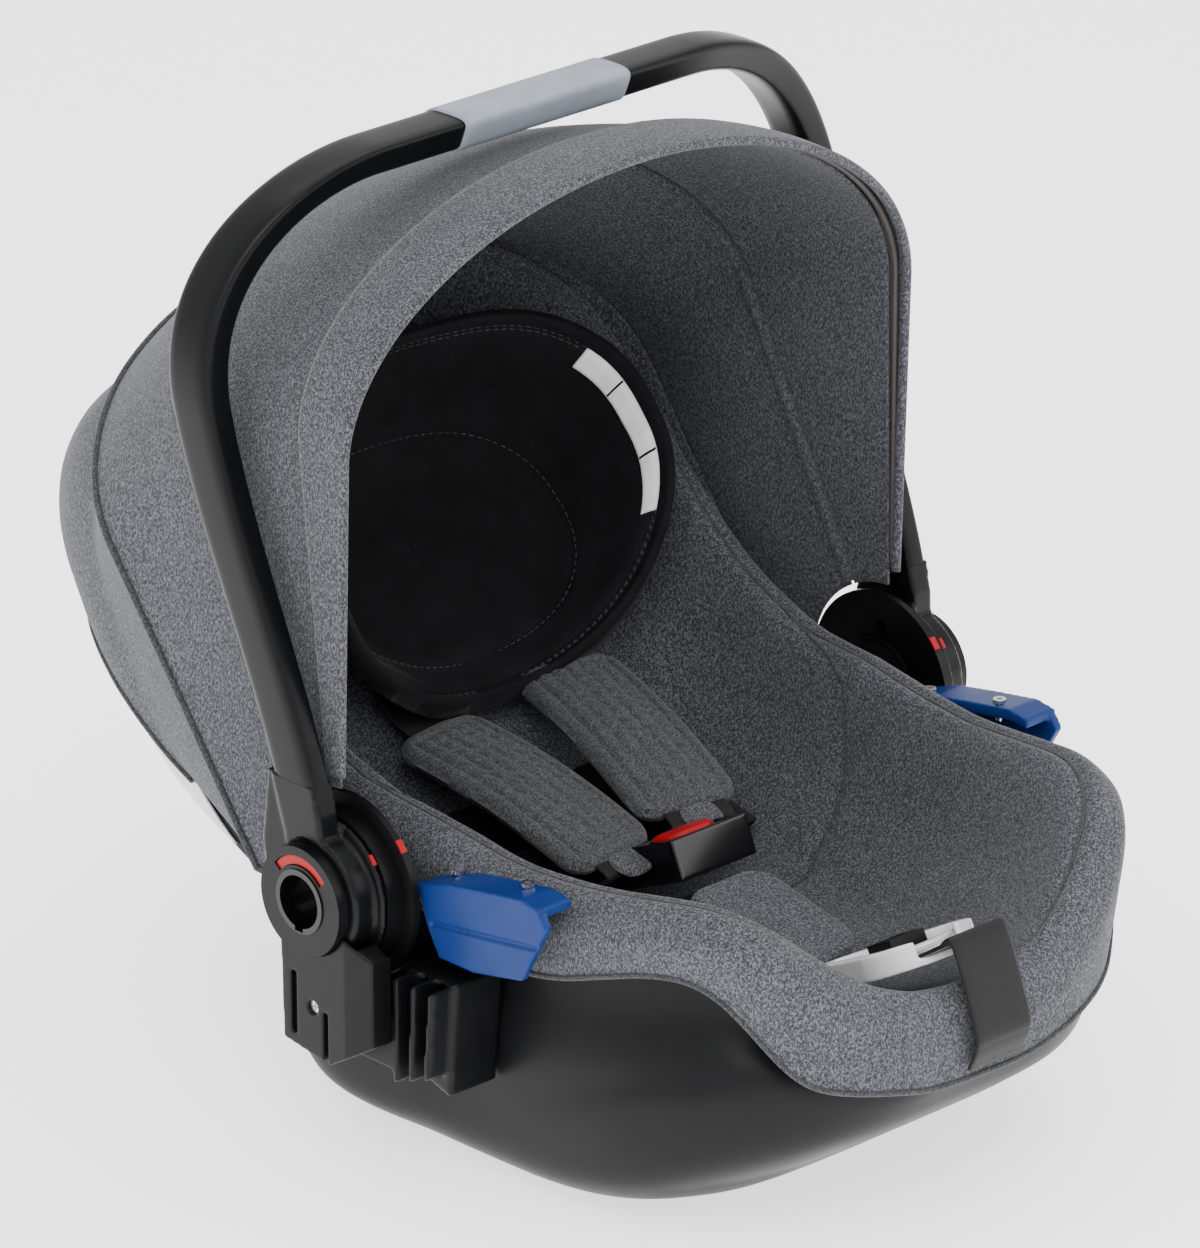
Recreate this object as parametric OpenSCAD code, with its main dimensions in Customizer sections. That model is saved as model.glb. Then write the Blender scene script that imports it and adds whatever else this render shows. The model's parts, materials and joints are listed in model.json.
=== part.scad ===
// Infant car seat: bucket shell, canopy, carry handle, harness and adapters.
// X is across the seat, -Y is the foot end, +Y the head end, +Z up.
// The origin is on the floor, straight below the handle's pivot axis.

/* [Overall] */
// Full width of the shell at the head end
shell_w = 368; // [300:1:460]
// Width of the shell beside the pivots
hub_w = 320; // [280:1:360]
// Width of the shell at its foot end
front_w = 306; // [260:1:340]
// Height of the pivot axis above the floor
pivot_h = 158; // [130:1:200]
// Distance from the pivot axis forward to the foot end of the shell
front_reach = 256; // [210:1:310]
// Outer radius of the canopy's front rim about the pivot axis
hood_r = 340.5; // [280:0.5:410]

/* [Shell and cushions] */
// Wall of the shell
wall = 3; // [2:0.5:5]
// Thickness of the seat cover
cover_t = 8; // [5:1:14]
// Thickness of the foam liner
foam_t = 10; // [6:1:16]
// Thickness of the fabric that covers the back of the shell
skin_t = 2.4; // [1.5:0.1:4]

/* [Hubs] */
// Radius of the hub shaft that the handle turns on
shaft_r = 22; // [18:0.5:24]
// Radius of the fixed drum's journal for the canopy bows
journal_r = 41; // [38:0.5:44]
// Width of the fixed drum's journal
journal_w = 9; // [8.5:0.5:14]
// Radius of the adapter disc
disc_r = 29; // [26:0.5:32]
// Bore radius of the adapter socket
socket_r = 14; // [10:0.5:16]
// Depth of the adapter socket
socket_depth = 16; // [8:0.5:16]
// Running clearance of shafts in bores
run_gap = 0.05; // [0.02:0.01:0.1]
// Side clearance between turning pieces
side_gap = 0.3; // [0.2:0.05:0.6]

/* [Handle] */
// Depth of the handle's section, front to back
handle_d = 30; // [22:1:38]
// Thickness of the handle across its section
handle_t = 18; // [13:1:22]
// Corner radius of the handle
handle_corner = 115; // [80:1:130]
// Clearance between the canopy's rim and the handle
handle_gap = 5; // [3:0.5:12]
// Length of the grip
grip_w = 118; // [80:1:160]

/* [Canopy] */
// Thickness of a canopy panel
panel_t = 3.6; // [2:0.2:4]
// Angle of the middle bow above the horizontal
mid_bow_deg = 62; // [56:1:68]
// Angle of the front rim above the horizontal
rim_deg = 91; // [88:1:96]
// Width of the front rim band
rim_band = 36; // [20:1:50]
// Height of the curved part of the canopy arch
arch_rise = 113; // [80:1:130]

/* [Harness] */
// Width of the webbing
web_w = 38; // [25:1:40]
// Thickness of the webbing
web_t = 1.6; // [1.2:0.1:2.5]
// Length of a shoulder pad
pad_l = 138; // [110:1:170]
// Width of a shoulder pad
pad_w = 60; // [45:1:66]
// Thickness of a shoulder pad
pad_t = 11; // [7:1:14]
// Length of the buckle housing
buckle_l = 62; // [50:1:70]
// Width of the buckle housing
buckle_w = 54; // [44:1:60]

/* [Hidden] */
$fn = 64;

eps = 0.01;
pivot = [0, 0, pivot_h];

// Layers across the width, from the shell outwards
x_panel = shell_w / 2 + skin_t + side_gap;
x_flange = x_panel;
x_journal = x_flange + panel_t + side_gap;
x_mid = x_journal;
x_rim = x_mid + panel_t + side_gap;
x_handle = x_journal + journal_w + 2 * side_gap + 2.4;
x_handle_out = x_handle + 13;
x_face = x_handle_out + 7;
ring_r = journal_r + run_gap;
ring_out = ring_r + 6;
flange_r = ring_out + 2;
boss_r = shaft_r + 12;

// Radii of the canopy layers, from the rim inwards
r_rim = hood_r;
r_mid = r_rim - panel_t - side_gap;
r_fixed = r_mid - panel_t - side_gap;
rear_arch_deg = 53;
rear_arch_y = 67;
rear_arch_z = -14;

// ---- Lofted bowls ----------------------------------------------------------------------------
// A loop is [front y, back y, half widths, exponent, heights]. Widths and heights are given at
// 0, 45, 90, 135 and 180 degrees around the loop, from the middle of the front to the back.
loop_n = 36;
sub_rings = 2;

function spow(v, p) = sign(v) * pow(abs(v), p);
function spline(a, b, c, d, t) =
    0.5 * (2 * b + (c - a) * t + (2 * a - 5 * b + 4 * c - d) * t * t
           + (3 * b - a - 3 * c + d) * t * t * t);
function around(list, deg) =
    let (s = deg / 45, i = min(floor(s), 3), last = i + 2 > 4 ? 3 : i + 2)
    spline(list[abs(i - 1)], list[i], list[i + 1], list[last], s - i);
function loop_point(loop, deg) =
    let (a = deg > 180 ? 360 - deg : deg,
         side = deg > 180 ? -1 : 1,
         p = 2 / loop[3],
         mid = (loop[0] + loop[1]) / 2,
         half = (loop[1] - loop[0]) / 2)
    [side * around(loop[2], a) * pow(sin(a), p), mid - half * spow(cos(a), p), around(loop[4], a)];
function loop_ring(loop) = [for (i = [0 : loop_n - 1]) loop_point(loop, i * 360 / loop_n)];
function blend_ring(rings, k, t) =
    let (last = len(rings) - 1,
         a = rings[max(k - 1, 0)],
         b = rings[k],
         c = rings[min(k + 1, last)],
         d = rings[min(k + 2, last)])
    [for (i = [0 : loop_n - 1]) spline(a[i], b[i], c[i], d[i], t)];
function smooth_rings(loops, sub = sub_rings) =
    let (rings = [for (l = loops) loop_ring(l)])
    concat([for (k = [0 : len(loops) - 2], s = [0 : sub - 1]) blend_ring(rings, k, s / sub)],
           [rings[len(loops) - 1]]);
function moved(list, d) = [for (v = list) v + d];
// A loop grown sideways by d and lifted by dz
function grown(l, d, dz) = [l[0] - d, l[1] + d, moved(l[2], d), l[3], moved(l[4], dz)];
function above(list) = moved(list, pivot_h);

// Closes a stack of rings into a solid; each end cap is a row of flat strips across the width
module ring_solid(rings) {
    n = loop_n;
    m = len(rings);
    half = n / 2;
    points = [for (r = rings) each r];
    sides = [for (k = [0 : m - 2], i = [0 : n - 1])
             let (a = k * n + i, b = k * n + (i + 1) % n) each [[a, b, b + n], [a, b + n, a + n]]];
    first = concat([[0, n - 1, 1]],
                   [for (i = [1 : half - 2]) [i, n - i, n - i - 1, i + 1]],
                   [[half - 1, half + 1, half]]);
    last = [for (f = first) [for (j = [len(f) - 1 : -1 : 0]) f[j] + (m - 1) * n]];
    polyhedron(points, concat(sides, first, last), convexity = 8);
}

// ---- Shell shape -----------------------------------------------------------------------------
function widths(d) =
    [front_w / 2 + d, front_w / 2 + d, hub_w / 2 + d, shell_w / 2 + d, shell_w / 2 + d];
head_y = (hood_r - 1.5) * cos(12);
rim_back_y = (hood_r - 25) * cos(40);
rim_back_h = (hood_r - 25) * sin(40);
head_mid_y = (hood_r - 3) * cos(25);
head_mid_h = (hood_r - 3) * sin(25);
foot = -front_reach;
rim_h = above([-54, 12, 14, 166, rim_back_h]);
rim_loop = [foot, rim_back_y, widths(0), 3.2, rim_h];
shell_loops = [
    rim_loop,
    [foot, head_mid_y, widths(0), 3, above([-58, 7, 12, 142, head_mid_h])],
    [foot - 2, head_y, widths(0), 2.7, above([-64, -8, -10, 84, head_y * tan(12)])],
    [foot + 4, head_y - 68, widths(-3), 2.9, above([-76, -34, -42, 14, 22])],
    [foot + 10, 124, widths(-4), 3.6, above([-88, -60, -76, -46, -40])],
    [foot + 20, 116, widths(-7), 4, [56, 60, 44, 52, 56]],
    [foot + 42, 106, widths(-13), 4, [40, 34, 16, 22, 26]],
    [foot + 76, 84, widths(-29), 4, [22, 14, 3.5, 7, 8]],
    [-60, 42, widths(-46), 4, [0, 0, 0, 0, 0]]];
shell_floor = len(shell_loops) - 1;
function inner_loop(i, d) =
    i == shell_floor ? grown(shell_loops[i], -d, d) : grown(shell_loops[i], -d, i > 4 ? d * 0.7 : 0);

// Rings from the outside of the floor up to the rim, then down the inside at depth d
module shell_skin(d_in, d_out) {
    outer = smooth_rings([for (i = [shell_floor : -1 : 0]) inner_loop(i, -d_out)]);
    inner = smooth_rings([for (i = [0 : shell_floor]) inner_loop(i, d_in)]);
    ring_solid(concat(outer, inner));
}

bar_r = 5;
bar_l = 236;
bar_front_y = -150;
bar_rear_y = 66;
bar_h = 22;
slot_w = 20;

module shell() {
    color("#2b2c2f") difference() {
        shell_skin(wall, 0);
        for (y = [bar_front_y, bar_rear_y])
            translate([-bar_l / 2 + 14, y - slot_w / 2, -1]) cube([bar_l - 28, slot_w, 40]);
    }
}

module base_bar(y) {
    color("#9a9da1") translate([-bar_l / 2, y, bar_h + (y < 0 ? 6 : 0)])
        rotate([0, 90, 0]) cylinder(r = bar_r, h = bar_l);
}
module base_bar_front() { base_bar(bar_front_y); }
module base_bar_rear() { base_bar(bar_rear_y); }

// ---- Seat surface ----------------------------------------------------------------------------
// The top of the cover, from its ridge down to the middle of the seat and the backrest
ridge_up = [26, 18, 20, 12, 10];
ridge_loop = [foot + 6, rim_back_y - 6, widths(-9), 3.1, rim_h + ridge_up];
// Heights around the cover's ridge dip in the middle of the front, where the legs lie
seat_h = above([-67, -70, -58, 52, 82]);
seat_loops = [
    ridge_loop,
    [foot + 16, rim_back_y - 14, widths(-20), 3, rim_h + moved(ridge_up, -8)],
    [foot + 44, rim_back_y - 26, widths(-36), 3, above([-52, -22, -22, 112, 158])],
    [foot + 76, rim_back_y - 42, widths(-56), 3, above([-64, -58, -48, 70, 110])],
    [foot + 96, rim_back_y - 56, widths(-72), 3, seat_h],
    [foot + 124, rim_back_y - 84, widths(-112), 3, above([-68, -71, -60, 38, 62])]];
seat_last = len(seat_loops) - 1;
skirt_drop = [40, 34, 0];
skirt_gap = 3.8;
skirt_t = 2.6;

// Height of the seat surface on the middle line
function seat_at(y) = y < -20 ? pivot_h - 68 : pivot_h - 68 + 42 * pow((y + 20) / 110, 1.25);

// A loop beside the shell's rim, d outside it and lowered by share of the skirt's drop; behind
// the pivots it stays inside the rim
function skirt_loop(d, share) =
    [foot - d, rim_back_y - 10, [for (i = [0 : 4]) widths(i < 3 ? d : -8)[i]], 3.2,
     [for (i = [0 : 4]) rim_h[i] + (i < 3 ? 2.5 - share * skirt_drop[i] : ridge_up[i] / 2)]];

module seat_cover() {
    under = [for (i = [seat_last : -1 : 1]) grown(seat_loops[i], cover_t * 0.8, -cover_t)];
    edge_in = [grown(rim_loop, -wall - 2, 1.5)];
    over_rim = [skirt_loop(skirt_gap, 0)];
    skirt_low = [skirt_loop(skirt_gap, 1)];
    skirt_out = [skirt_loop(skirt_gap + skirt_t, 1), skirt_loop(skirt_gap + skirt_t, 0)];
    color("#5f6166") difference() {
        ring_solid(concat(
            smooth_rings(under), smooth_rings(edge_in), smooth_rings(over_rim, 1),
            smooth_rings(skirt_low, 1), smooth_rings(skirt_out, 1), smooth_rings(seat_loops)));
        for (s = [-1, 1]) on_side(s)
            side_plate([[-20, 6], [-43, 17], [-64, 25], [-86, 30], [-118, 34], [-139, 30],
                        [-139, 8], [-118, -26], [-84, -32], [-44, -32], [-20, -10]],
                       guide_x0 - 0.6, guide_x0 + 40);
    }
}

module foam_liner() {
    clear = 1.2;
    top = [for (i = [2 : seat_last]) grown(seat_loops[i], cover_t * 0.8 + clear, -cover_t - clear)];
    low = [for (i = [seat_last : -1 : 2])
           grown(seat_loops[i], cover_t * 0.8 + foam_t * 0.3, -cover_t - foam_t)];
    color("#c9cbd0") ring_solid(concat(smooth_rings(low), smooth_rings(top)));
}

// Half space behind the rear arch's line
module behind_arch() {
    translate([-shell_w, rear_arch_y, pivot_h + rear_arch_z]) rotate([rear_arch_deg, 0, 0])
        translate([0, -200, -700]) cube([2 * shell_w, 900, 700]);
}

// A curved sheet between two grids of points, which have the same rows and columns
module sheet_solid(outer, inner) {
    rows = len(outer);
    cols = len(outer[0]);
    n = rows * cols;
    edge = concat([for (j = [0 : cols - 1]) j], [for (i = [1 : rows - 1]) i * cols + cols - 1],
                  [for (j = [cols - 2 : -1 : 0]) (rows - 1) * cols + j],
                  [for (i = [rows - 2 : -1 : 1]) i * cols]);
    grid = [for (i = [0 : rows - 2], j = [0 : cols - 2]) i * cols + j];
    polyhedron([for (r = concat(outer, inner)) each r], concat(
        [for (k = grid) each [[k, k + 1, k + cols + 1], [k, k + cols + 1, k + cols]]],
        [for (k = grid) each [[n + k + cols + 1, n + k + 1, n + k], [n + k + cols, n + k + cols + 1, n + k]]],
        [for (e = [0 : len(edge) - 1]) let (a = edge[e], b = edge[(e + 1) % len(edge)])
         each [[a, n + b, b], [a, n + a, n + b]]]), convexity = 6);
}
// Points i0..i1 of the shell's outer rings at distance d from it
function shell_rows(d, k0, k1, i0, i1) =
    let (rings = smooth_rings([for (i = [0 : 4]) inner_loop(i, -d)]))
    [for (k = [k0 : k1]) [for (i = [i1 : -1 : i0]) rings[k][i]]];
skin_gap = 0.6;
cover_rows = 5;
cover_i0 = 12;

module back_cover() {
    color("#5f6166") sheet_solid(
        shell_rows(skin_gap, 0, cover_rows, cover_i0, loop_n - cover_i0),
        shell_rows(skin_gap + skin_t, 0, cover_rows, cover_i0, loop_n - cover_i0));
}

// The part of a two-row sheet between shares f0 and f1 of its height
function row_share(rows, f0, f1) =
    [for (f = [f0, f1]) [for (j = [0 : len(rows[0]) - 1]) rows[0][j] + (rows[1][j] - rows[0][j]) * f]];
strip_share = 0.8;
strip_gap = 1.1;
module side_strip(s) {
    i0 = s > 0 ? cover_i0 : loop_n - cover_i0 - 4;
    color("#e9e9ea") sheet_solid(
        row_share(shell_rows(strip_gap, cover_rows, cover_rows + 1, i0, i0 + 4), 0.02, strip_share),
        row_share(shell_rows(strip_gap + 1.4, cover_rows, cover_rows + 1, i0, i0 + 4), 0.02, strip_share));
}
module side_strip_left() { side_strip(-1); }
module side_strip_right() { side_strip(1); }

// ---- Hubs ------------------------------------------------------------------------------------
// Builds a piece on the +X side, or its mirror image on the -X side
module on_side(s) {
    mirror([s < 0 ? 1 : 0, 0, 0]) children();
}
// A cylinder on the pivot axis from x0 to x1
module hub_cyl(r, x0, x1) {
    translate([x0, 0, pivot_h]) rotate([0, 90, 0]) cylinder(r = r, h = x1 - x0);
}
module hub_tube(r_in, r_out, x0, x1) {
    difference() {
        hub_cyl(r_out, x0, x1);
        hub_cyl(r_in, x0 - 1, x1 + 1);
    }
}
// Extrudes a (Y, Z) outline, measured from the pivot axis, from x0 to x1
module side_plate(points, x0, x1) {
    translate([x0, 0, pivot_h]) rotate([90, 0, 90])
        linear_extrude(height = x1 - x0) polygon(points);
}

prong_r = 33;
prong_w = 7;
module prongs(gap, x0, x1) {
    for (a = [90, 210, 330])
        translate(pivot) rotate([a, 0, 0]) translate([x0, 0, 0]) rotate([0, 90, 0])
            translate([0, prong_r - 3, 0]) cylinder(d = prong_w + 2 * gap, h = x1 - x0);
}

module hub_bracket(s) {
    wall_x = hub_w / 2 - 5;
    rib_t = 4;
    plate_x = x_handle - 1;
    color("#2b2c2f") on_side(s) difference() {
        union() {
            side_plate([[-44, -34], [-76, -32], [-70, -96], [-44, -88], [18, -84], [30, -46]],
                       wall_x, x_flange);
            for (i = [0 : 2])
                side_plate([[-44 - i * 13, -34], [-44 - i * 13 - rib_t, -33],
                            [-44 - i * 11 - rib_t, -90 + i * 4], [-44 - i * 11, -91 + i * 4]],
                           wall_x, plate_x);
            side_plate([[-44, -58], [18, -58], [18, -84], [-44, -84]], wall_x, plate_x);
        }
        hub_cyl(flange_r, wall_x - 1, plate_x + 1);
        for (i = [0 : 1])
            side_plate([[-50 - i * 11, -36], [-56 - i * 12, -35], [-55 - i * 10, -84], [-50 - i * 10, -84]],
                       x_flange - 14, x_flange + 1);
    }
}
module hub_bracket_left() { hub_bracket(-1); }
module hub_bracket_right() { hub_bracket(1); }

button_r = 25;
button_face = x_flange - 5;
button_travel = 4;
ring_w = 5;
module fixed_drum(s) {
    color("#1c1d1f") on_side(s) difference() {
        union() {
            hub_cyl(flange_r, x_flange, x_journal - side_gap);
            hub_cyl(journal_r, x_journal - side_gap - eps, x_journal + journal_w);
        }
        hub_cyl(button_r + 0.6, x_flange - 1, x_flange + 4);
        hub_cyl(8 + 0.3, x_flange, x_journal + journal_w + 1);
        hub_cyl(shaft_r, x_journal + journal_w - 3, x_journal + journal_w + 1);
        prongs(0.4, x_flange, x_journal + journal_w + 1);
        hub_tube(shaft_r + 1.6, prong_r + 2, x_journal + journal_w - 3.2, x_journal + journal_w + 1);
    }
}
module fixed_drum_left() { fixed_drum(-1); }
module fixed_drum_right() { fixed_drum(1); }

keyway_w = 6;
flag_r = 21.6;
module hub_core(s) {
    color("#1c1d1f") on_side(s) difference() {
        union() {
            hub_cyl(shaft_r, x_journal + journal_w - 3, x_handle_out + side_gap + 1);
            hub_cyl(disc_r, x_handle_out + side_gap, x_face);
        }
        hub_cyl(socket_r + 3, x_face - socket_depth, x_face + 1);
        flag_window(flag_r - 2.6, flag_r + 2.6, 2.4);
        hub_cyl(7, x_journal + journal_w - 4, x_journal + journal_w);
    }
}
// The arc-shaped window in the disc's upper part
module flag_window(r0, r1, deep) {
    translate(pivot) rotate([90, 0, 90]) translate([0, 0, x_face - deep])
        rotate([0, 0, 40]) rotate_extrude(angle = 100) translate([r0, 0]) square([r1 - r0, deep + 1]);
}
module hub_core_left() { hub_core(-1); }
module hub_core_right() { hub_core(1); }

module lock_flags() {
    color("#c2272b") for (s = [-1, 1]) on_side(s) intersection() {
        flag_window(flag_r - 2.3, flag_r + 2.3, 2.4);
        hub_cyl(disc_r, x_face - 3, x_face - 1);
    }
}

module adapter_ring(s) {
    color("#141416") on_side(s) difference() {
        hub_cyl(socket_r + 3, x_face - socket_depth, x_face + 0.8);
        hub_cyl(socket_r, x_face - socket_depth + 2, x_face + 2);
        translate([x_face - 5, -keyway_w / 2, pivot_h - socket_r - 2])
            cube([8, keyway_w, 4]);
    }
}
module adapter_ring_left() { adapter_ring(-1); }
module adapter_ring_right() { adapter_ring(1); }

plate_screw_y = -4;
plate_screw_z = -58;
module adapter_plate(s) {
    outline = [[-44, -22], [-44, -69], [-16, -86], [18, -81], [20, -8], [-10, -6]];
    plan = [[x_handle - 1, -44], [x_face - 8, -44], [x_face - 4, -28], [x_face - 4, 20],
            [x_handle - 1, 20]];
    color("#242528") on_side(s) difference() {
        intersection() {
            side_plate(outline, x_handle - 1, x_face);
            linear_extrude(height = 400) polygon(plan);
        }
        hub_cyl(flange_r, x_handle - 2, x_handle + eps);
        hub_cyl(boss_r + 4, x_handle - 2, x_handle_out + side_gap);
        hub_cyl(disc_r, x_handle_out, x_face + 1);
        translate([x_face - 8, 8, pivot_h - 76]) cube([10, 4, 34]);
        translate([x_face - 8, -15, pivot_h - 88]) cube([10, 3.4, 30]);
        translate([x_face - 8, plate_screw_y, pivot_h + plate_screw_z]) rotate([0, 90, 0])
            cylinder(r = 3.6, h = 10);
        translate([x_face - 15, plate_screw_y, pivot_h + plate_screw_z]) rotate([0, 90, 0])
            cylinder(r = 1.75, h = 10);
    }
}
module adapter_plate_left() { adapter_plate(-1); }
module adapter_plate_right() { adapter_plate(1); }

// A pan-head screw with a cross recess, head towards +X
module screw(r, h) {
    difference() {
        union() {
            rotate([0, 90, 0]) cylinder(r = r, h = 2);
            translate([-h, 0, 0]) rotate([0, 90, 0]) cylinder(r = r * 0.5, h = h + eps);
        }
        for (a = [0, 90])
            translate([1, 0, 0]) rotate([a, 0, 0]) translate([0, -r * 0.6, -0.4]) cube([2, r * 1.2, 0.8]);
    }
}
module plate_screws() {
    color("#b9bcc0") for (s = [-1, 1]) on_side(s)
        translate([x_face - 8, plate_screw_y, pivot_h + plate_screw_z]) screw(3.4, 6);
}

mark_deg = 140;
module index_mark(r, x0, x1) {
    translate(pivot) rotate([90, 0, 90]) translate([0, 0, x0])
        rotate([0, 0, mark_deg - 4]) rotate_extrude(angle = 8)
            translate([r, 0]) square([0.8, x1 - x0]);
}
module index_marks_fixed() {
    color("#c2272b") for (s = [-1, 1]) on_side(s)
        index_mark(flange_r, x_flange, x_journal - side_gap);
}
module index_marks_handle() {
    color("#c2272b") for (s = [-1, 1]) on_side(s)
        index_mark(journal_r - 1, x_handle - 2.2, x_handle - 0.2);
}

// ---- Release buttons -------------------------------------------------------------------------
module release_button(s) {
    color("#2b2c2f") on_side(s) difference() {
        union() {
            hub_cyl(button_r - 2, button_face, button_face + 1);
            hub_cyl(button_r, button_face + 1, button_face + 4.4);
            hub_cyl(6, button_face + 4, x_journal + journal_w - 8);
        }
        hub_cyl(button_r - 6, button_face - 1, button_face + 1.4);
    }
}
module release_button_left() { release_button(-1); }
module release_button_right() { release_button(1); }

teeth = 12;
module lock_ring(s) {
    x0 = x_journal + journal_w - 2.6;
    color("#c9cbd0") on_side(s) difference() {
        union() {
            hub_cyl(shaft_r + 5, x0, x0 + ring_w);
            for (i = [0 : teeth - 1])
                translate(pivot) rotate([i * 360 / teeth, 0, 0])
                    translate([x0, -2, 0]) cube([ring_w, 4, shaft_r + 7]);
        }
        hub_cyl(shaft_r + 2, x0 - 1, x0 + ring_w + 1);
    }
}
module lock_ring_left() { lock_ring(-1); }
module lock_ring_right() { lock_ring(1); }

module release_spring(s) {
    color("#b9bcc0") on_side(s)
        hub_tube(10, 12, button_face + 4.5, x_flange + 3.9);
}
module release_spring_left() { release_spring(-1); }
module release_spring_right() { release_spring(1); }

// ---- Handle ----------------------------------------------------------------------------------
handle_r_in = hood_r + handle_gap;
lean_a = 0.0422;
lean_b = 0.961;
lean_c = -0.8044;
lean_span = handle_r_in + 6.5;
function lean(z) =
    let (t = z / lean_span) lean_span * (lean_a * t + lean_b * t * t + lean_c * t * t * t);
handle_in_z = sqrt(pow(handle_r_in, 2) - pow(lean(handle_r_in), 2));
handle_top = handle_in_z + handle_t;
splay = 7;
handle_steps = 24;
leg_top = handle_top - handle_corner;
function arc(cx, cz, r, a0, a1, n) = [for (i = [0 : n]) let (a = a0 + (a1 - a0) * i / n)
                                      [cx + r * cos(a), cz + r * sin(a)]];
module arch_2d() {
    foot_x = x_handle_out;
    out_x = foot_x + splay;
    corner_x = out_x - handle_corner;
    in_r = handle_corner - handle_t;
    polygon(concat([[foot_x, 0]], arc(corner_x, leg_top, handle_corner, 0, 90, 16),
                   arc(-corner_x, leg_top, handle_corner, 90, 180, 16), [[-foot_x, 0]],
                   [[-x_handle, 0]], arc(-corner_x, leg_top, in_r, 180, 90, 16),
                   arc(corner_x, leg_top, in_r, 90, 0, 16), [[x_handle, 0]]));
}
module side_band(grow) {
    zs = [for (i = [0 : handle_steps]) (handle_top + 10) * i / handle_steps];
    half = handle_d / 2 + grow;
    front = [for (z = zs) [lean(z) - half * (z < 40 ? 0.86 : 1), z]];
    back = [for (i = [handle_steps : -1 : 0]) [lean(zs[i]) + half * (zs[i] < 40 ? 0.9 : 1), zs[i]]];
    rotate([90, 0, 90]) translate([0, 0, -300]) linear_extrude(height = 600) polygon(concat(front, back));
}
module handle() {
    color("#161719") difference() {
        union() {
            translate(pivot) intersection() {
                translate([0, 150, 0]) rotate([90, 0, 0]) linear_extrude(height = 300) arch_2d();
                side_band(0);
            }
            for (s = [-1, 1]) on_side(s) {
                hub_cyl(boss_r, x_handle, x_handle_out);
                hub_cyl(journal_r - 1, x_handle - 2.4, x_handle);
            }
            for (s = [-1, 1]) on_side(s)
                side_plate([[4, 0], [34, 4], [36, 22], [30, 70], [4, 60]], x_handle, x_handle_out);
        }
        for (s = [-1, 1]) on_side(s) {
            hub_cyl(shaft_r + run_gap, x_handle - 4, x_handle_out + 1);
            hub_cyl(shaft_r + 8, x_handle - 4, x_handle + 6);
            hub_cyl(disc_r + 1, x_handle_out, x_face + 1);
        }
    }
}

module handle_grip() {
    proud = 1.2;
    band_z = handle_in_z - proud;
    color("#8f97a3") translate(pivot) difference() {
        intersection() {
            side_band(proud);
            translate([-grip_w / 2, -100, band_z]) cube([grip_w, 300, handle_t + 2 * proud]);
        }
        intersection() {
            side_band(0);
            translate([-grip_w / 2 - 1, -100, handle_in_z]) cube([grip_w + 2, 300, handle_t]);
        }
    }
}

// ---- Canopy ----------------------------------------------------------------------------------
arch_steps = 20;
// Half profile of an arch as (radius, x): straight side, then a quarter ellipse up to the top
function arch_half(w, r, r_low, s) =
    concat([[r_low, s * w]],
           [for (i = [0 : arch_steps - 1]) let (a = 90 * i / arch_steps)
            [r - arch_rise * (1 - sin(a)), s * w * cos(a)]]);
function reversed(list) = [for (i = [len(list) - 1 : -1 : 0]) list[i]];
function arch_line(w, r, r_low) =
    concat(arch_half(w, r, r_low, -1), [[r, 0]], reversed(arch_half(w, r, r_low, 1)));
module arch_profile(x_in, r_out, r_low, t) {
    w = x_in + panel_t;
    polygon(concat(arch_line(w, r_out, r_low), reversed(arch_line(w - t, r_out - t, r_low))));
}
// A sector of the canopy about the pivot axis, from a0 to a1 degrees above the horizontal
module canopy_sector(x_in, r_out, r_low, t, a0, a1) {
    translate(pivot) rotate([90, 0, 90]) rotate([0, 0, a0])
        rotate_extrude(angle = a1 - a0, $fn = 96) arch_profile(x_in, r_out, r_low, t);
}

panel_low = ring_out + 1;
module canopy_rear_panel() {
    color("#5f6166") difference() {
        canopy_sector(x_panel, r_fixed, flange_r + 1, panel_t, -12, mid_bow_deg);
        behind_arch();
    }
}
module canopy_rear_arch() {
    wire = 1.5;
    color("#3a3c40") intersection() {
        canopy_sector(x_panel - 4, r_fixed - 4, flange_r + 1, 2 * wire, -12, mid_bow_deg);
        translate([-shell_w, rear_arch_y, pivot_h + rear_arch_z]) rotate([rear_arch_deg, 0, 0])
            translate([0, -200, 1]) cube([2 * shell_w, 900, 2 * wire]);
    }
}

module bow_ring(s, x0) {
    on_side(s) hub_tube(ring_r, ring_out, x0, x0 + panel_t);
}
module mid_bow() {
    color("#2b2c2f") union() {
        canopy_sector(x_mid, r_mid, ring_out - 1, panel_t, mid_bow_deg - 3, mid_bow_deg);
        for (s = [-1, 1]) bow_ring(s, x_mid);
    }
}
module canopy_front_panel() {
    color("#5f6166")
        canopy_sector(x_mid, r_mid, panel_low, panel_t, mid_bow_deg, rim_deg - 2);
}
rim_half_deg = rim_band / hood_r * 180 / PI;
rim_low = 60;
module canopy_rim() {
    color("#6a6c71")
        canopy_sector(x_rim, r_rim, rim_low, panel_t - 1.6, rim_deg - rim_half_deg, rim_deg);
}
module rim_bow() {
    color("#2b2c2f") union() {
        canopy_sector(x_rim, r_rim, ring_out - 1, panel_t, rim_deg, rim_deg + 1.2);
        for (s = [-1, 1]) bow_ring(s, x_rim);
    }
}
module zip_tape() {
    color("#5d5450")
        canopy_sector(x_rim - 2.1, r_rim - 2.1, rim_low + 4, 1.4, rim_deg - 3.4, rim_deg - 0.8);
}

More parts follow.
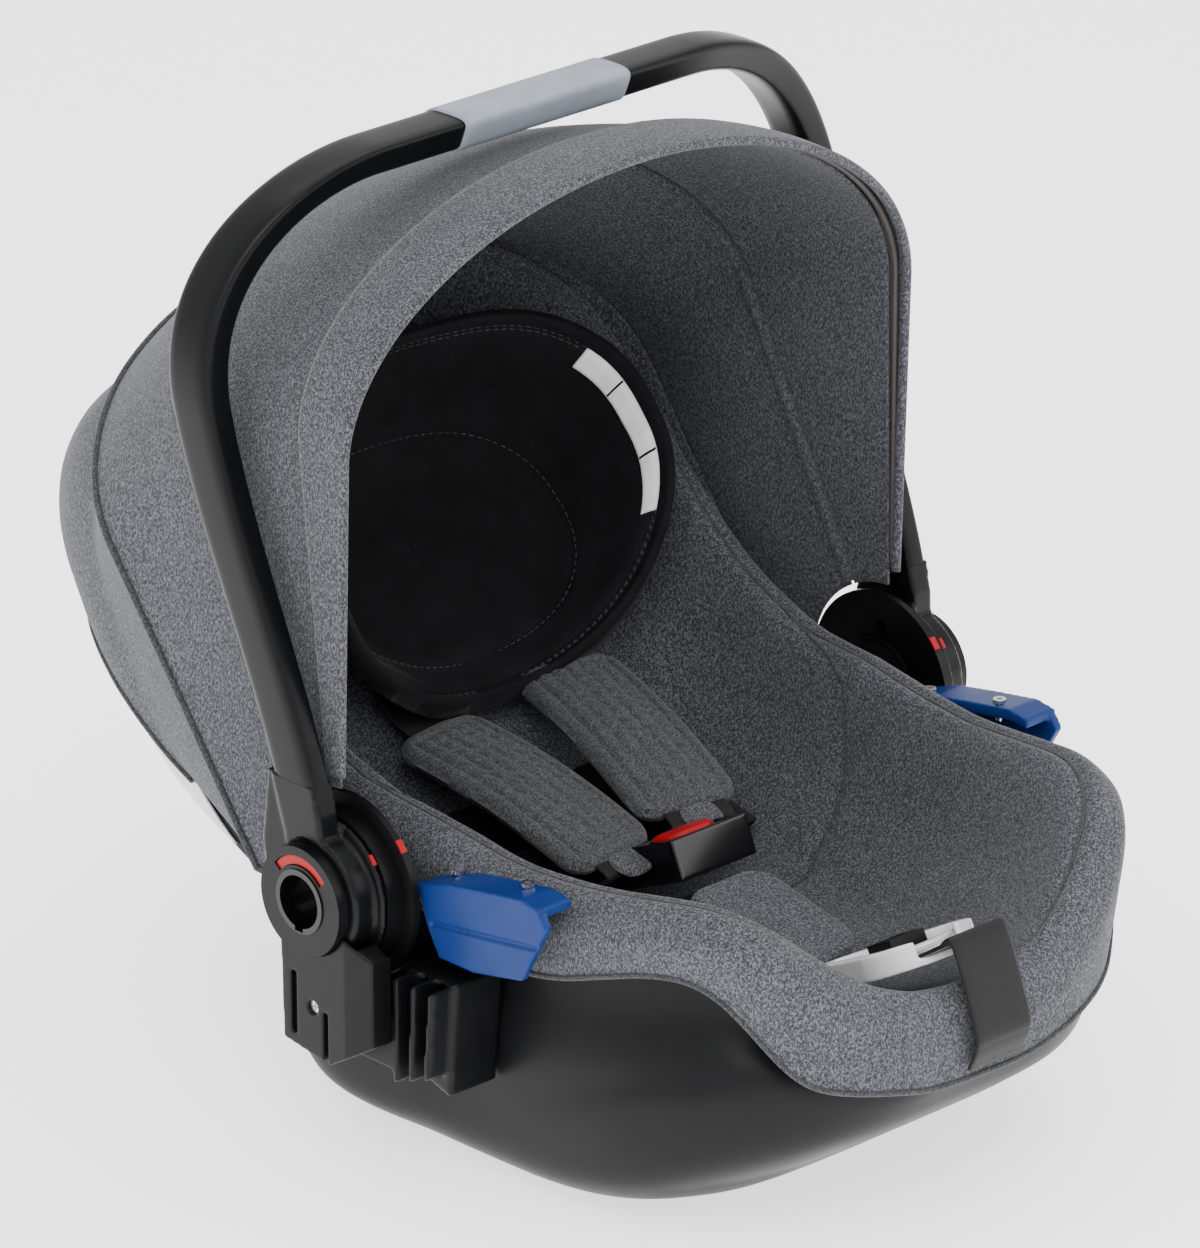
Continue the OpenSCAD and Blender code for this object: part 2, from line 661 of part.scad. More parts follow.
// ---- Belt guides -----------------------------------------------------------------------------
guide_x0 = hub_w / 2 + 0.8;
guide_x1 = guide_x0 + 22;
guide_screw_x = guide_x0 + 6;
guide_t = 5;
module belt_guide(s) {
    color("#234a8c") on_side(s) difference() {
        union() {
            side_plate([[-28, 3], [-43, 11], [-64, 18], [-86, 22], [-118, 27], [-131, 25],
                        [-131, 20], [-118, 21], [-86, 16], [-64, 12], [-43, 5], [-30, -3]],
                       guide_x0, guide_x1);
            side_plate([[-44, 6], [-64, 14], [-86, 18], [-118, 23], [-132, 22], [-136, 16],
                        [-128, 2], [-118, -17], [-84, -24], [-58, -24], [-50, -10]],
                       guide_x1 - guide_t, guide_x1);
        }
        for (y = [-56, -106])
            translate([guide_screw_x, y, pivot_h - 10]) cylinder(r = 2.2, h = 60);
        side_plate([[-52, -9], [-132, 3], [-132, 6], [-52, -6]], guide_x1 - 1.6, guide_x1 + 1);
    }
}
module belt_guide_left() { belt_guide(-1); }
module belt_guide_right() { belt_guide(1); }
module guide_screws() {
    color("#b9bcc0") for (s = [-1, 1], y = [-56, -106]) on_side(s)
        translate([guide_screw_x, y, pivot_h + (y == -56 ? 16.5 : 25.8)])
            rotate([0, -90, 0]) screw(3.4, 10);
}

// ---- Inserts ---------------------------------------------------------------------------------
back_deg = 42;
head_c = [0, 150, pivot_h + 57];
head_r = 112;
insert_t = 12;
// The insert's own frame lies on the backrest: y runs up it, z stands out from it
head_cups = [
    [-54, 100, [118, 116, 112, 108, 104], 2.4, [26, 52, 92, 96, 84]],
    [-50, 94, [110, 108, 104, 100, 96], 2.4, [24, 46, 78, 80, 66]],
    [-46, 82, [96, 94, 90, 86, 84], 2.4, [18, 30, 42, 42, 34]],
    [-38, 62, [72, 72, 70, 66, 64], 2.4, [14, 16, 18, 18, 16]],
    [-26, 40, [36, 36, 36, 34, 32], 2.4, [12, 12, 12, 12, 12]]];
module in_head_frame() {
    translate(head_c) rotate([back_deg, 0, 0]) children();
}
module head_insert() {
    last = len(head_cups) - 1;
    outer = [for (i = [last : -1 : 0]) grown(head_cups[i], insert_t * 0.7, i > 2 ? -8 : -6)];
    color("#17181b") in_head_frame() ring_solid(concat(
        smooth_rings(outer), smooth_rings([grown(head_cups[0], insert_t * 0.35, 3)], 1),
        smooth_rings(head_cups)));
}
// A thin curved patch on the inner wall of the cup, on the +X side
module insert_patch() {
    rings = smooth_rings(head_cups);
    near = [for (d = [0.5, 1.3]) [for (k = [1 : 3]) [for (i = [9 : 14])
            rings[k][i] + d * [-1, 0, 0.3]]]];
    color("#e9e9ea") in_head_frame() sheet_solid(near[0], near[1]);
}
body_w = 140;
function seat_line(ys, lift) = [for (y = ys) [y, seat_at(y) + lift]];
module body_insert() {
    ys = [for (i = [0 : 4]) 14 + i * 14];
    color("#17181b") rotate([90, 0, 90]) translate([0, 0, -body_w / 2])
        linear_extrude(height = body_w)
            polygon(concat(seat_line(ys, 4), reversed(seat_line(ys, 2 + insert_t))));
}

// ---- Harness ---------------------------------------------------------------------------------
// A box whose middle line runs from a to b, w wide across X and t thick
module strip_between(a, b, w, t) {
    d = b - a;
    run = norm(d);
    lift = asin(d[2] / run);
    turn = atan2(d[0], -d[1]);
    translate(a) rotate([0, 0, turn]) rotate([-lift, 0, 0])
        translate([-w / 2, -run, -t / 2]) cube([w, run, t]);
}
buckle_c = [0, -38, pivot_h - 29];
buckle_deg = 24;
pad_top = [[-46, 88, pivot_h + 24], [44, 86, pivot_h + 26]];
pad_end = [[-36, -38, pivot_h - 6], [34, -30, pivot_h - 2]];
function along(a, b, f) = a + (b - a) * f;
module shoulder_pad(i) {
    a = pad_top[i];
    b = along(a, pad_end[i], pad_l / norm(pad_end[i] - a));
    color("#55575b") difference() {
        strip_between(a, b, pad_w, pad_t);
        strip_between(along(a, b, -0.1), along(a, b, 1.1), web_w + 2, web_t + 1);
    }
}
module shoulder_pad_left() { shoulder_pad(0); }
module shoulder_pad_right() { shoulder_pad(1); }
module shoulder_strap(i) {
    b = along(pad_top[i], pad_end[i], pad_l / norm(pad_end[i] - pad_top[i]) + 0.02);
    color("#18191b") strip_between(pad_top[i], b, web_w, web_t);
}
module shoulder_strap_left() { shoulder_strap(0); }
module shoulder_strap_right() { shoulder_strap(1); }

module in_buckle() {
    translate(buckle_c) rotate([-buckle_deg, 0, 0]) children();
}
button_w = buckle_w - 16;
button_l = 24;
module buckle_housing() {
    color("#1c1d1f") in_buckle() difference() {
        translate([-buckle_w / 2, -buckle_l / 2, -12]) cube([buckle_w, buckle_l, 22]);
        translate([-button_w / 2 - 0.4, -buckle_l / 2 + 5.6, -4]) cube([button_w + 0.8, button_l + 0.8, 20]);
        translate([-buckle_w / 2 + 4, buckle_l / 2 - 16, -3]) cube([buckle_w - 8, 20, 5]);
    }
}
module buckle_button() {
    color("#c2272b") in_buckle() translate([-button_w / 2, -buckle_l / 2 + 6, 2])
        cube([button_w, button_l, 10]);
}
module buckle_spring() {
    color("#b9bcc0") in_buckle() translate([0, -buckle_l / 2 + 6 + button_l / 2, -4])
        difference() {
            cylinder(r = 5, h = 6);
            translate([0, 0, -1]) cylinder(r = 3.6, h = 8);
        }
}
module buckle_tongues() {
    color("#141416") in_buckle() for (s = [-1, 1]) {
        translate([s * 12 - 10, buckle_l / 2 - 15, -2.5]) cube([20, 34, 4]);
        translate([s * 13 - 12, buckle_l / 2 + 2, -4]) cube([24, 14, 7]);
    }
}
module hip_straps() {
    color("#18191b") for (s = [-1, 1])
        strip_between([s * 84, 6, pivot_h - 40], [s * 34, -8, pivot_h - 34], web_w, web_t);
}
crotch_y = -150;
module crotch_strap() {
    color("#18191b")
        strip_between([0, -62, pivot_h - 46], [0, crotch_y, pivot_h - 64], web_w, web_t);
}
module crotch_pad() {
    color("#55575b")
        strip_between([0, -76, pivot_h - 38], [0, crotch_y + 4, pivot_h - 55], web_w + 18, 9);
}
module splitter_plate() {
    color("#9a9da1") translate([-27, 60, pivot_h - 78]) rotate([back_deg, 0, 0])
        difference() {
            cube([54, 34, 2.5]);
            translate([6, 6, -1]) cube([42, 4, 5]);
            translate([20, 20, -1]) cube([14, 7, 5]);
        }
}

// ---- Harness adjuster ------------------------------------------------------------------------
adj_c = [0, foot + 42, pivot_h - 33];
adj_deg = 29;
adj_l = 100;
adj_r = 31;
tip_r = 13;
module in_adjuster() {
    translate(adj_c) rotate([-adj_deg, 0, 0]) children();
}
// Teardrop outline: a large round end towards the foot and a small one towards the seat
module teardrop(grow) {
    far = adj_l - adj_r - tip_r;
    tilt = asin((adj_r - tip_r) / far);
    union() {
        circle(r = adj_r + grow);
        translate([0, far]) circle(r = tip_r + grow);
        polygon([[-(adj_r + grow) * cos(tilt), (adj_r + grow) * sin(tilt)],
                 [(adj_r + grow) * cos(tilt), (adj_r + grow) * sin(tilt)],
                 [(tip_r + grow) * cos(tilt), far + (tip_r + grow) * sin(tilt)],
                 [-(tip_r + grow) * cos(tilt), far + (tip_r + grow) * sin(tilt)]]);
    }
}
adj_button = [24, 18, 8];
module adjuster_housing() {
    color("#f2f2f2") in_adjuster() difference() {
        linear_extrude(height = 13) teardrop(0);
        translate([0, 0, 4]) linear_extrude(height = 20) teardrop(-9);
        translate([-web_w / 2 - 1, -adj_r - 2, 3.9]) cube([web_w + 2, 20, 20]);
        translate([-20, -7, 8]) rotate([0, 90, 0]) cylinder(r = 2.05, h = 40);
        translate([-24, -7, 8]) rotate([0, 90, 0]) cylinder(r = 2.05, h = 48);
    }
}
module adjuster_pin() {
    color("#c4c7cb") in_adjuster() translate([-24, -7, 8]) rotate([0, 90, 0])
        cylinder(r = 2, h = 48);
}
module adjuster_button() {
    color("#1c1d1f") in_adjuster() translate([-adj_button[0] / 2, 3, 8]) difference() {
        cube(adj_button);
        for (i = [0 : 4])
            translate([-1, 2 + i * 3.4, adj_button[2] - 1]) cube([adj_button[0] + 2, 1.2, 2]);
    }
}
module adjuster_spring() {
    color("#b9bcc0") in_adjuster() translate([0, 3 + adj_button[1] / 2, 4]) difference() {
        cylinder(r = 4, h = 4);
        translate([0, 0, -1]) cylinder(r = 2.8, h = 6);
    }
}
module adjuster_strap() {
    lip = foot - 12;
    color("#18191b") {
        in_adjuster() translate([-web_w / 2, -46, 4.4]) cube([web_w, 32, web_t]);
        translate([-web_w / 2, lip - 2, pivot_h - 84]) cube([web_w, web_t, 46]);
    }
}

shell();
foam_liner();
seat_cover();
back_cover();
side_strip_left();
side_strip_right();
hub_bracket_left();
hub_bracket_right();
fixed_drum_left();
fixed_drum_right();
hub_core_left();
hub_core_right();
adapter_ring_left();
adapter_ring_right();
lock_flags();
adapter_plate_left();
adapter_plate_right();
plate_screws();
belt_guide_left();
belt_guide_right();
guide_screws();
index_marks_fixed();
base_bar_front();
base_bar_rear();
head_insert();
body_insert();
insert_patch();
shoulder_pad_left();
shoulder_pad_right();
shoulder_strap_left();
shoulder_strap_right();
hip_straps();
crotch_strap();
crotch_pad();
splitter_plate();
buckle_housing();
buckle_tongues();
buckle_button();
buckle_spring();
adjuster_housing();
adjuster_pin();
adjuster_strap();
adjuster_button();
adjuster_spring();
canopy_rear_panel();
canopy_rear_arch();
mid_bow();
canopy_front_panel();
canopy_rim();
rim_bow();
zip_tape();
handle();
handle_grip();
index_marks_handle();
release_button_left();
release_button_right();
lock_ring_left();
lock_ring_right();
release_spring_left();
release_spring_right();
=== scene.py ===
"""Infant car seat: fabric, padding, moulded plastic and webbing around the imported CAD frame."""
import json
import math

import bmesh
import bpy
import numpy as np
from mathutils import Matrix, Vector
from mathutils import noise as perlin
from mathutils.bvhtree import BVHTree
from mathutils.kdtree import KDTree


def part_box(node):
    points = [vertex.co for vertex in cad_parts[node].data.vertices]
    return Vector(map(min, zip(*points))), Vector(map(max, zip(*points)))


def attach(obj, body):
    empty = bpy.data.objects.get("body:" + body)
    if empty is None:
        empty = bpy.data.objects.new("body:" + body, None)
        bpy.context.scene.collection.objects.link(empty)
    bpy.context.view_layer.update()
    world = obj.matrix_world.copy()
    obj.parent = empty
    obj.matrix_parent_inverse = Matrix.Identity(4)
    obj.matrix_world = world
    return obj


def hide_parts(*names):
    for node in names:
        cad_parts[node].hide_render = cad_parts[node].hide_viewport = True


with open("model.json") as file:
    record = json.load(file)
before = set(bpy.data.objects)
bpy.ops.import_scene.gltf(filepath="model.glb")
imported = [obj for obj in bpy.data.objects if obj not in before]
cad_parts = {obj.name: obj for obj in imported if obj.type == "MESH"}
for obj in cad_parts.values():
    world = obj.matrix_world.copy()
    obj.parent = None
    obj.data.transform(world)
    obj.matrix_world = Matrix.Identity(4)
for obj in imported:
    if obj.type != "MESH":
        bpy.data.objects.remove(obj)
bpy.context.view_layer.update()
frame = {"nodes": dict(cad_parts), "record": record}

NODES = frame["nodes"]
MM = 0.001

# ---- Sizes shared with the CAD source, in millimetres ------------------------------------------
PIVOT_H = sum(b.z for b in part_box("fixed_drum_left")) / 2 / MM
HOOD_R = 340.5
SHELL_W, HUB_W, FRONT_W = 368.0, 320.0, 306.0
FOOT = -256.0
WALL, PANEL_T, SIDE_GAP, SKIN_T = 3.0, 3.6, 0.3, 2.4
X_PANEL = SHELL_W / 2 + SKIN_T + SIDE_GAP
X_MID = X_PANEL + PANEL_T + SIDE_GAP
X_RIM = X_MID + PANEL_T + SIDE_GAP
X_HANDLE = X_MID + 9 + 2 * SIDE_GAP + 2.4
X_HANDLE_OUT = X_HANDLE + 13
R_RIM = HOOD_R
R_MID = R_RIM - PANEL_T - SIDE_GAP
R_FIXED = R_MID - PANEL_T - SIDE_GAP
ARCH_RISE = 113.0
MID_DEG, RIM_DEG = 62.0, 91.0
REAR_DEG, REAR_Y, REAR_Z = 53.0, 67.0, -14.0
FLANGE_R = 49.05


# ---- Mesh helpers ------------------------------------------------------------------------------
def make_object(name, points, faces, uvs=None, smooth=True):
    """A mesh object from points in millimetres in the row frame."""
    mesh = bpy.data.meshes.new(name)
    mesh.from_pydata((np.asarray(points, float) * MM).tolist(), [], [list(map(int, f)) for f in faces])
    if uvs is not None:
        layer = mesh.uv_layers.new(name="weave")
        loops = np.zeros(len(mesh.loops), np.int32)
        mesh.loops.foreach_get("vertex_index", loops)
        layer.data.foreach_set("uv", (np.asarray(uvs, float)[loops] * MM).ravel())
    mesh.validate()
    if smooth:
        mesh.polygons.foreach_set("use_smooth", [True] * len(mesh.polygons))
    obj = bpy.data.objects.new(name, mesh)
    bpy.context.scene.collection.objects.link(obj)
    return obj


def grid_faces(rows, cols, wrap_cols=False, wrap_rows=False, flip=False, start=0):
    r = np.arange(rows if wrap_rows else rows - 1)
    c = np.arange(cols if wrap_cols else cols - 1)
    rr, cc = np.meshgrid(r, c, indexing="ij")
    r2, c2 = (rr + 1) % rows, (cc + 1) % cols
    quad = np.stack([rr * cols + cc, rr * cols + c2, r2 * cols + c2, r2 * cols + cc], -1).reshape(-1, 4)
    return (quad[:, ::-1] if flip else quad) + start


def grid_uv(grid):
    """Distances along the rows and columns of a grid of points, as a uv per point."""
    g = np.asarray(grid, float)
    u = np.concatenate([np.zeros((g.shape[0], 1)),
                        np.cumsum(np.linalg.norm(np.diff(g, axis=1), axis=2), axis=1)], 1)
    v = np.concatenate([np.zeros((1, g.shape[1])),
                        np.cumsum(np.linalg.norm(np.diff(g, axis=0), axis=2), axis=0)], 0)
    u -= u[:, u.shape[1] // 2][:, None]
    return np.stack([u, v], -1).reshape(-1, 2)


def grid_normals(grid, wrap=False):
    g = np.asarray(grid, float)
    du = (np.roll(g, -1, 1) - np.roll(g, 1, 1)) if wrap else np.gradient(g, axis=1)
    dv = np.gradient(g, axis=0)
    n = np.cross(du, dv)
    return n / np.maximum(np.linalg.norm(n, axis=2, keepdims=True), 1e-9)


def weld(obj, distance=0.01):
    bm = bmesh.new()
    bm.from_mesh(obj.data)
    bmesh.ops.remove_doubles(bm, verts=bm.verts, dist=distance * MM)
    bmesh.ops.dissolve_degenerate(bm, edges=bm.edges, dist=0.001 * MM)
    bmesh.ops.recalc_face_normals(bm, faces=bm.faces)
    bm.to_mesh(obj.data)
    bm.free()
    obj.data.polygons.foreach_set("use_smooth", [True] * len(obj.data.polygons))
    return obj


def sheet_between(name, outer, inner):
    """A closed sheet between two grids of points with the same rows and columns."""
    rows, cols = outer.shape[:2]
    n = rows * cols
    edge = ([j for j in range(cols)] + [i * cols + cols - 1 for i in range(1, rows)]
            + [(rows - 1) * cols + j for j in range(cols - 2, -1, -1)] + [i * cols
                                                                          for i in range(rows - 2, 0, -1)])
    rim = [[edge[(k + 1) % len(edge)], a, a + n, edge[(k + 1) % len(edge)] + n] for k, a in enumerate(edge)]
    faces = (grid_faces(rows, cols).tolist() + grid_faces(rows, cols, flip=True, start=n).tolist() + rim)
    uv = np.concatenate([grid_uv(outer), grid_uv(inner)])
    return weld(make_object(name, np.concatenate([outer.reshape(-1, 3), inner.reshape(-1, 3)]), faces, uv),
                0.001)


def closed_rings(name, rings, cap=True):
    """A closed form from a stack of rings; each end is drawn together across the width."""
    rings = np.asarray(rings, float)
    if cap:
        def ends(ring, shares):
            out = []
            for f in shares:
                r = ring.copy()
                r[:, 0] *= 1 - f
                out.append(r)
            return out
        shares = (0.12, 0.25, 0.4, 0.55, 0.7, 0.85, 1.0)
        rings = np.concatenate([ends(rings[0], shares)[::-1], rings, ends(rings[-1], shares)])
    rows, cols = rings.shape[:2]
    obj = make_object(name, rings.reshape(-1, 3), grid_faces(rows, cols, wrap_cols=True), grid_uv(rings))
    return weld(obj, 0.02)


def resample(points, step):
    p = np.asarray(points, float)
    along = np.concatenate([[0], np.cumsum(np.linalg.norm(np.diff(p, axis=0), axis=1))])
    at = np.linspace(0, along[-1], max(2, int(math.ceil(along[-1] / step)) + 1))
    return np.stack([np.interp(at, along, p[:, k]) for k in range(3)], 1)


def smooth_curve(points, per=12):
    """A Catmull-Rom curve through the points."""
    p = np.asarray(points, float)
    p = np.concatenate([[2 * p[0] - p[1]], p, [2 * p[-1] - p[-2]]])
    out = []
    for k in range(1, len(p) - 2):
        for t in np.linspace(0, 1, per, endpoint=False):
            out.append(catmull(p[k - 1], p[k], p[k + 1], p[k + 2], t))
    out.append(p[-2])
    return np.array(out)


def tube(name, points, radius, sides=10, closed=False):
    """A round tube, such as piping, along a line of points."""
    p = np.asarray(points, float)
    t = (np.roll(p, -1, 0) - np.roll(p, 1, 0)) if closed else np.gradient(p, axis=0)
    t /= np.maximum(np.linalg.norm(t, axis=1, keepdims=True), 1e-9)
    normal = np.cross(t[0], [0, 0, 1.0] if abs(t[0][2]) < 0.9 else [1.0, 0, 0])
    rings = []
    for k in range(len(p)):
        normal = normal - t[k] * (normal @ t[k])
        normal /= np.linalg.norm(normal)
        side = np.cross(t[k], normal)
        a = np.linspace(0, 2 * math.pi, sides, endpoint=False)[:, None]
        r = radius if np.isscalar(radius) else radius[k]
        rings.append(p[k] + r * (np.cos(a) * normal + np.sin(a) * side))
    rings = np.array(rings)
    faces = grid_faces(len(p), sides, wrap_cols=True, wrap_rows=closed).tolist()
    if not closed:
        faces += [list(range(sides))[::-1], [(len(p) - 1) * sides + i for i in range(sides)]]
    return make_object(name, rings.reshape(-1, 3), faces, grid_uv(rings))


def ribbon(name, points, across, width, thick):
    """Flat webbing along points: across is its width direction at each point."""
    p = np.asarray(points, float)
    c = np.asarray(across, float)
    c = np.broadcast_to(c, p.shape) if c.ndim == 1 else c
    t = np.gradient(p, axis=0)
    t /= np.linalg.norm(t, axis=1, keepdims=True)
    c = c - t * (c * t).sum(1, keepdims=True)
    c = c / np.linalg.norm(c, axis=1, keepdims=True)
    n = np.cross(c, t)
    half, r = width / 2, thick / 2
    prof = [(-half + r * 0.3, r), (-half + r * 1.6, r), (-half * 0.6, r), (0, r), (half * 0.6, r),
            (half - r * 1.6, r),
            (half - r * 0.3, r * 0.8), (half, 0), (half - r * 0.3, -r * 0.8), (half - r * 1.6, -r),
            (half * 0.6, -r),
            (0, -r), (-half * 0.6, -r), (-half + r * 1.6, -r), (-half + r * 0.3, -r * 0.8), (-half, 0)]
    rings = np.stack([p + a * c + b * n for a, b in prof], 1)
    rows, cols = rings.shape[:2]
    faces = grid_faces(rows, cols, wrap_cols=True).tolist()
    faces += [list(range(cols))[::-1], [(rows - 1) * cols + i for i in range(cols)]]
    along = np.concatenate([[0], np.cumsum(np.linalg.norm(np.diff(p, axis=0), axis=1))])
    uv = np.stack([np.broadcast_to(np.array([a for a, _ in prof]), (rows, cols)),
                   np.broadcast_to(along[:, None], (rows, cols))], -1).reshape(-1, 2)
    return make_object(name, rings.reshape(-1, 3), faces, uv)


def stitches(name, points, normal, length=3.2, gap=1.6, radius=0.32, lift=0.15):
    """A row of thread stitches along a line, as one mesh."""
    line = resample(points, 0.8)
    along = np.concatenate([[0], np.cumsum(np.linalg.norm(np.diff(line, axis=0), axis=1))])
    normal = np.asarray(normal, float)
    if normal.ndim == 2:
        src = np.linspace(0, 1, len(normal))
        dst = np.linspace(0, 1, len(line))
        normal = np.stack([np.interp(dst, src, normal[:, k]) for k in range(3)], 1)
    verts, faces = [], []
    at = gap
    while at + length < along[-1]:
        ts = np.array([0, 0.18, 0.5, 0.82, 1.0])
        c = np.stack([np.interp(at + ts * length, along, line[:, k]) for k in range(3)], 1)
        nn = normal if normal.ndim == 1 else np.array([np.interp(at + length / 2, along, normal[:, k])
                                                       for k in range(3)])
        nn = nn / np.linalg.norm(nn)
        t = c[-1] - c[0]
        t /= np.linalg.norm(t)
        side = np.cross(t, nn)
        rise = np.array([-0.5, 0.5, 1.0, 0.5, -0.5]) * lift + radius * 0.2
        size = np.array([0.35, 0.9, 1.0, 0.9, 0.35]) * radius
        base = len(verts)
        for k in range(5):
            for a in range(6):
                ang = a * math.pi / 3
                verts.append(c[k] + nn * rise[k] + size[k] * (math.cos(ang) * side + math.sin(ang) * nn))
        for k in range(4):
            for a in range(6):
                faces.append([base + k * 6 + a, base + k * 6 + (a + 1) % 6, base + (k + 1) * 6 + (a + 1) % 6,
                              base + (k + 1) * 6 + a])
        faces.append([base + a for a in range(6)][::-1])
        faces.append([base + 24 + a for a in range(6)])
        at += length + gap
    return make_object(name, verts, faces)


def join(name, objs):
    """Joins meshes into the first, and renames it."""
    bm = bmesh.new()
    for o in objs:
        bm.from_mesh(o.data)
    mesh = bpy.data.meshes.new(name)
    for m in objs[0].data.materials:
        mesh.materials.append(m)
    bm.to_mesh(mesh)
    bm.free()
    for o in objs:
        bpy.data.objects.remove(o)
    obj = bpy.data.objects.new(name, mesh)
    bpy.context.scene.collection.objects.link(obj)
    return obj


def apply_modifiers(obj):
    dg = bpy.context.evaluated_depsgraph_get()
    mesh = bpy.data.meshes.new_from_object(obj.evaluated_get(dg))
    obj.modifiers.clear()
    old = obj.data
    obj.data = mesh
    bpy.data.meshes.remove(old)
    return obj


def softened(name, sources, voxel, smooth=8, factor=0.5):
    """A copy of CAD nodes or meshes with rounded edges, by remesh and smoothing."""
    bm = bmesh.new()
    for s in sources:
        bm.from_mesh(s.data)
    mesh = bpy.data.meshes.new(name)
    bm.to_mesh(mesh)
    bm.free()
    obj = bpy.data.objects.new(name, mesh)
    bpy.context.scene.collection.objects.link(obj)
    m = obj.modifiers.new("remesh", "REMESH")
    m.mode = "VOXEL"
    m.voxel_size = voxel * MM
    m.use_smooth_shade = True
    if smooth:
        s = obj.modifiers.new("smooth", "SMOOTH")
        s.iterations = smooth
        s.factor = factor
    return apply_modifiers(obj)


def catmull(a, b, c, d, t):
    return 0.5 * (2 * b + (c - a) * t + (2 * a - 5 * b + 4 * c - d) * t * t + (3 * b - a - 3 * c + d) * t ** 3)


def field(points, scale, seed=0.0):
    """Smooth noise from -1 to 1 at points in millimetres; scale is the size of its lumps."""
    p = np.asarray(points, float) / scale + seed
    return np.array([perlin.noise(Vector(v)) for v in p.reshape(-1, 3)]).reshape(p.shape[:-1])


def smoothstep(a, b, x):
    t = np.clip((np.asarray(x, float) - a) / (b - a), 0, 1)
    return t * t * (3 - 2 * t)


# ---- Lofted bowls, as in the CAD ---------------------------------------------------------------
def above(values):
    return [v + PIVOT_H for v in values]


def loop_ring(loop, n):
    deg = np.arange(n) * 360.0 / n
    a = np.where(deg > 180, 360 - deg, deg)
    side = np.where(deg > 180, -1.0, 1.0)

    def around(values):
        v = np.asarray(values, float)
        s = a / 45
        i = np.minimum(np.floor(s).astype(int), 3)
        last = np.where(i + 2 > 4, 3, i + 2)
        return catmull(v[np.abs(i - 1)], v[i], v[i + 1], v[last], s - i)
    y0, y1, half_widths, power, heights = loop
    p = 2 / power
    rad = np.radians(a)
    c = np.cos(rad)
    x = side * around(half_widths) * np.abs(np.sin(rad)) ** p
    y = (y0 + y1) / 2 - (y1 - y0) / 2 * np.sign(c) * np.abs(c) ** p
    return np.stack([x, y, around(heights)], 1)


def smooth_rings(loops, sub, n):
    rings = [loop_ring(l, n) for l in loops]
    last = len(rings) - 1
    out = []
    for k in range(last):
        a, b, c, d = rings[max(k - 1, 0)], rings[k], rings[k + 1], rings[min(k + 2, last)]
        out += [catmull(a, b, c, d, s / sub) for s in range(sub)]
    return np.array(out + [rings[last]])


def grown(loop, d, dz):
    return [loop[0] - d, loop[1] + d, [w + d for w in loop[2]], loop[3], [h + dz for h in loop[4]]]


def widths(d):
    return [FRONT_W / 2 + d, FRONT_W / 2 + d, HUB_W / 2 + d, SHELL_W / 2 + d, SHELL_W / 2 + d]


def cosd(a):
    return math.cos(math.radians(a))


def sind(a):
    return math.sin(math.radians(a))


HEAD_Y = (HOOD_R - 1.5) * cosd(12)
RIM_BACK_Y, RIM_BACK_H = (HOOD_R - 25) * cosd(40), (HOOD_R - 25) * sind(40)
HEAD_MID_Y, HEAD_MID_H = (HOOD_R - 3) * cosd(25), (HOOD_R - 3) * sind(25)
RIM_H = above([-54, 12, 14, 166, RIM_BACK_H])
SHELL_LOOPS = [
    [FOOT, RIM_BACK_Y, widths(0), 3.2, RIM_H],
    [FOOT, HEAD_MID_Y, widths(0), 3, above([-58, 7, 12, 142, HEAD_MID_H])],
    [FOOT - 2, HEAD_Y, widths(0), 2.7, above([-64, -8, -10, 84, HEAD_Y * math.tan(math.radians(12))])],
    [FOOT + 4, HEAD_Y - 68, widths(-3), 2.9, above([-76, -34, -42, 14, 22])],
    [FOOT + 10, 124, widths(-4), 3.6, above([-88, -60, -76, -46, -40])],
    [FOOT + 20, 116, widths(-7), 4, [56, 60, 44, 52, 56]],
    [FOOT + 42, 106, widths(-13), 4, [40, 34, 16, 22, 26]],
    [FOOT + 76, 84, widths(-29), 4, [22, 14, 3.5, 7, 8]],
    [-60, 42, widths(-46), 4, [0, 0, 0, 0, 0]]]


def inner_loop(i, d):
    if i == len(SHELL_LOOPS) - 1:
        return grown(SHELL_LOOPS[i], -d, d)
    return grown(SHELL_LOOPS[i], -d, d * 0.7 if i > 4 else 0)


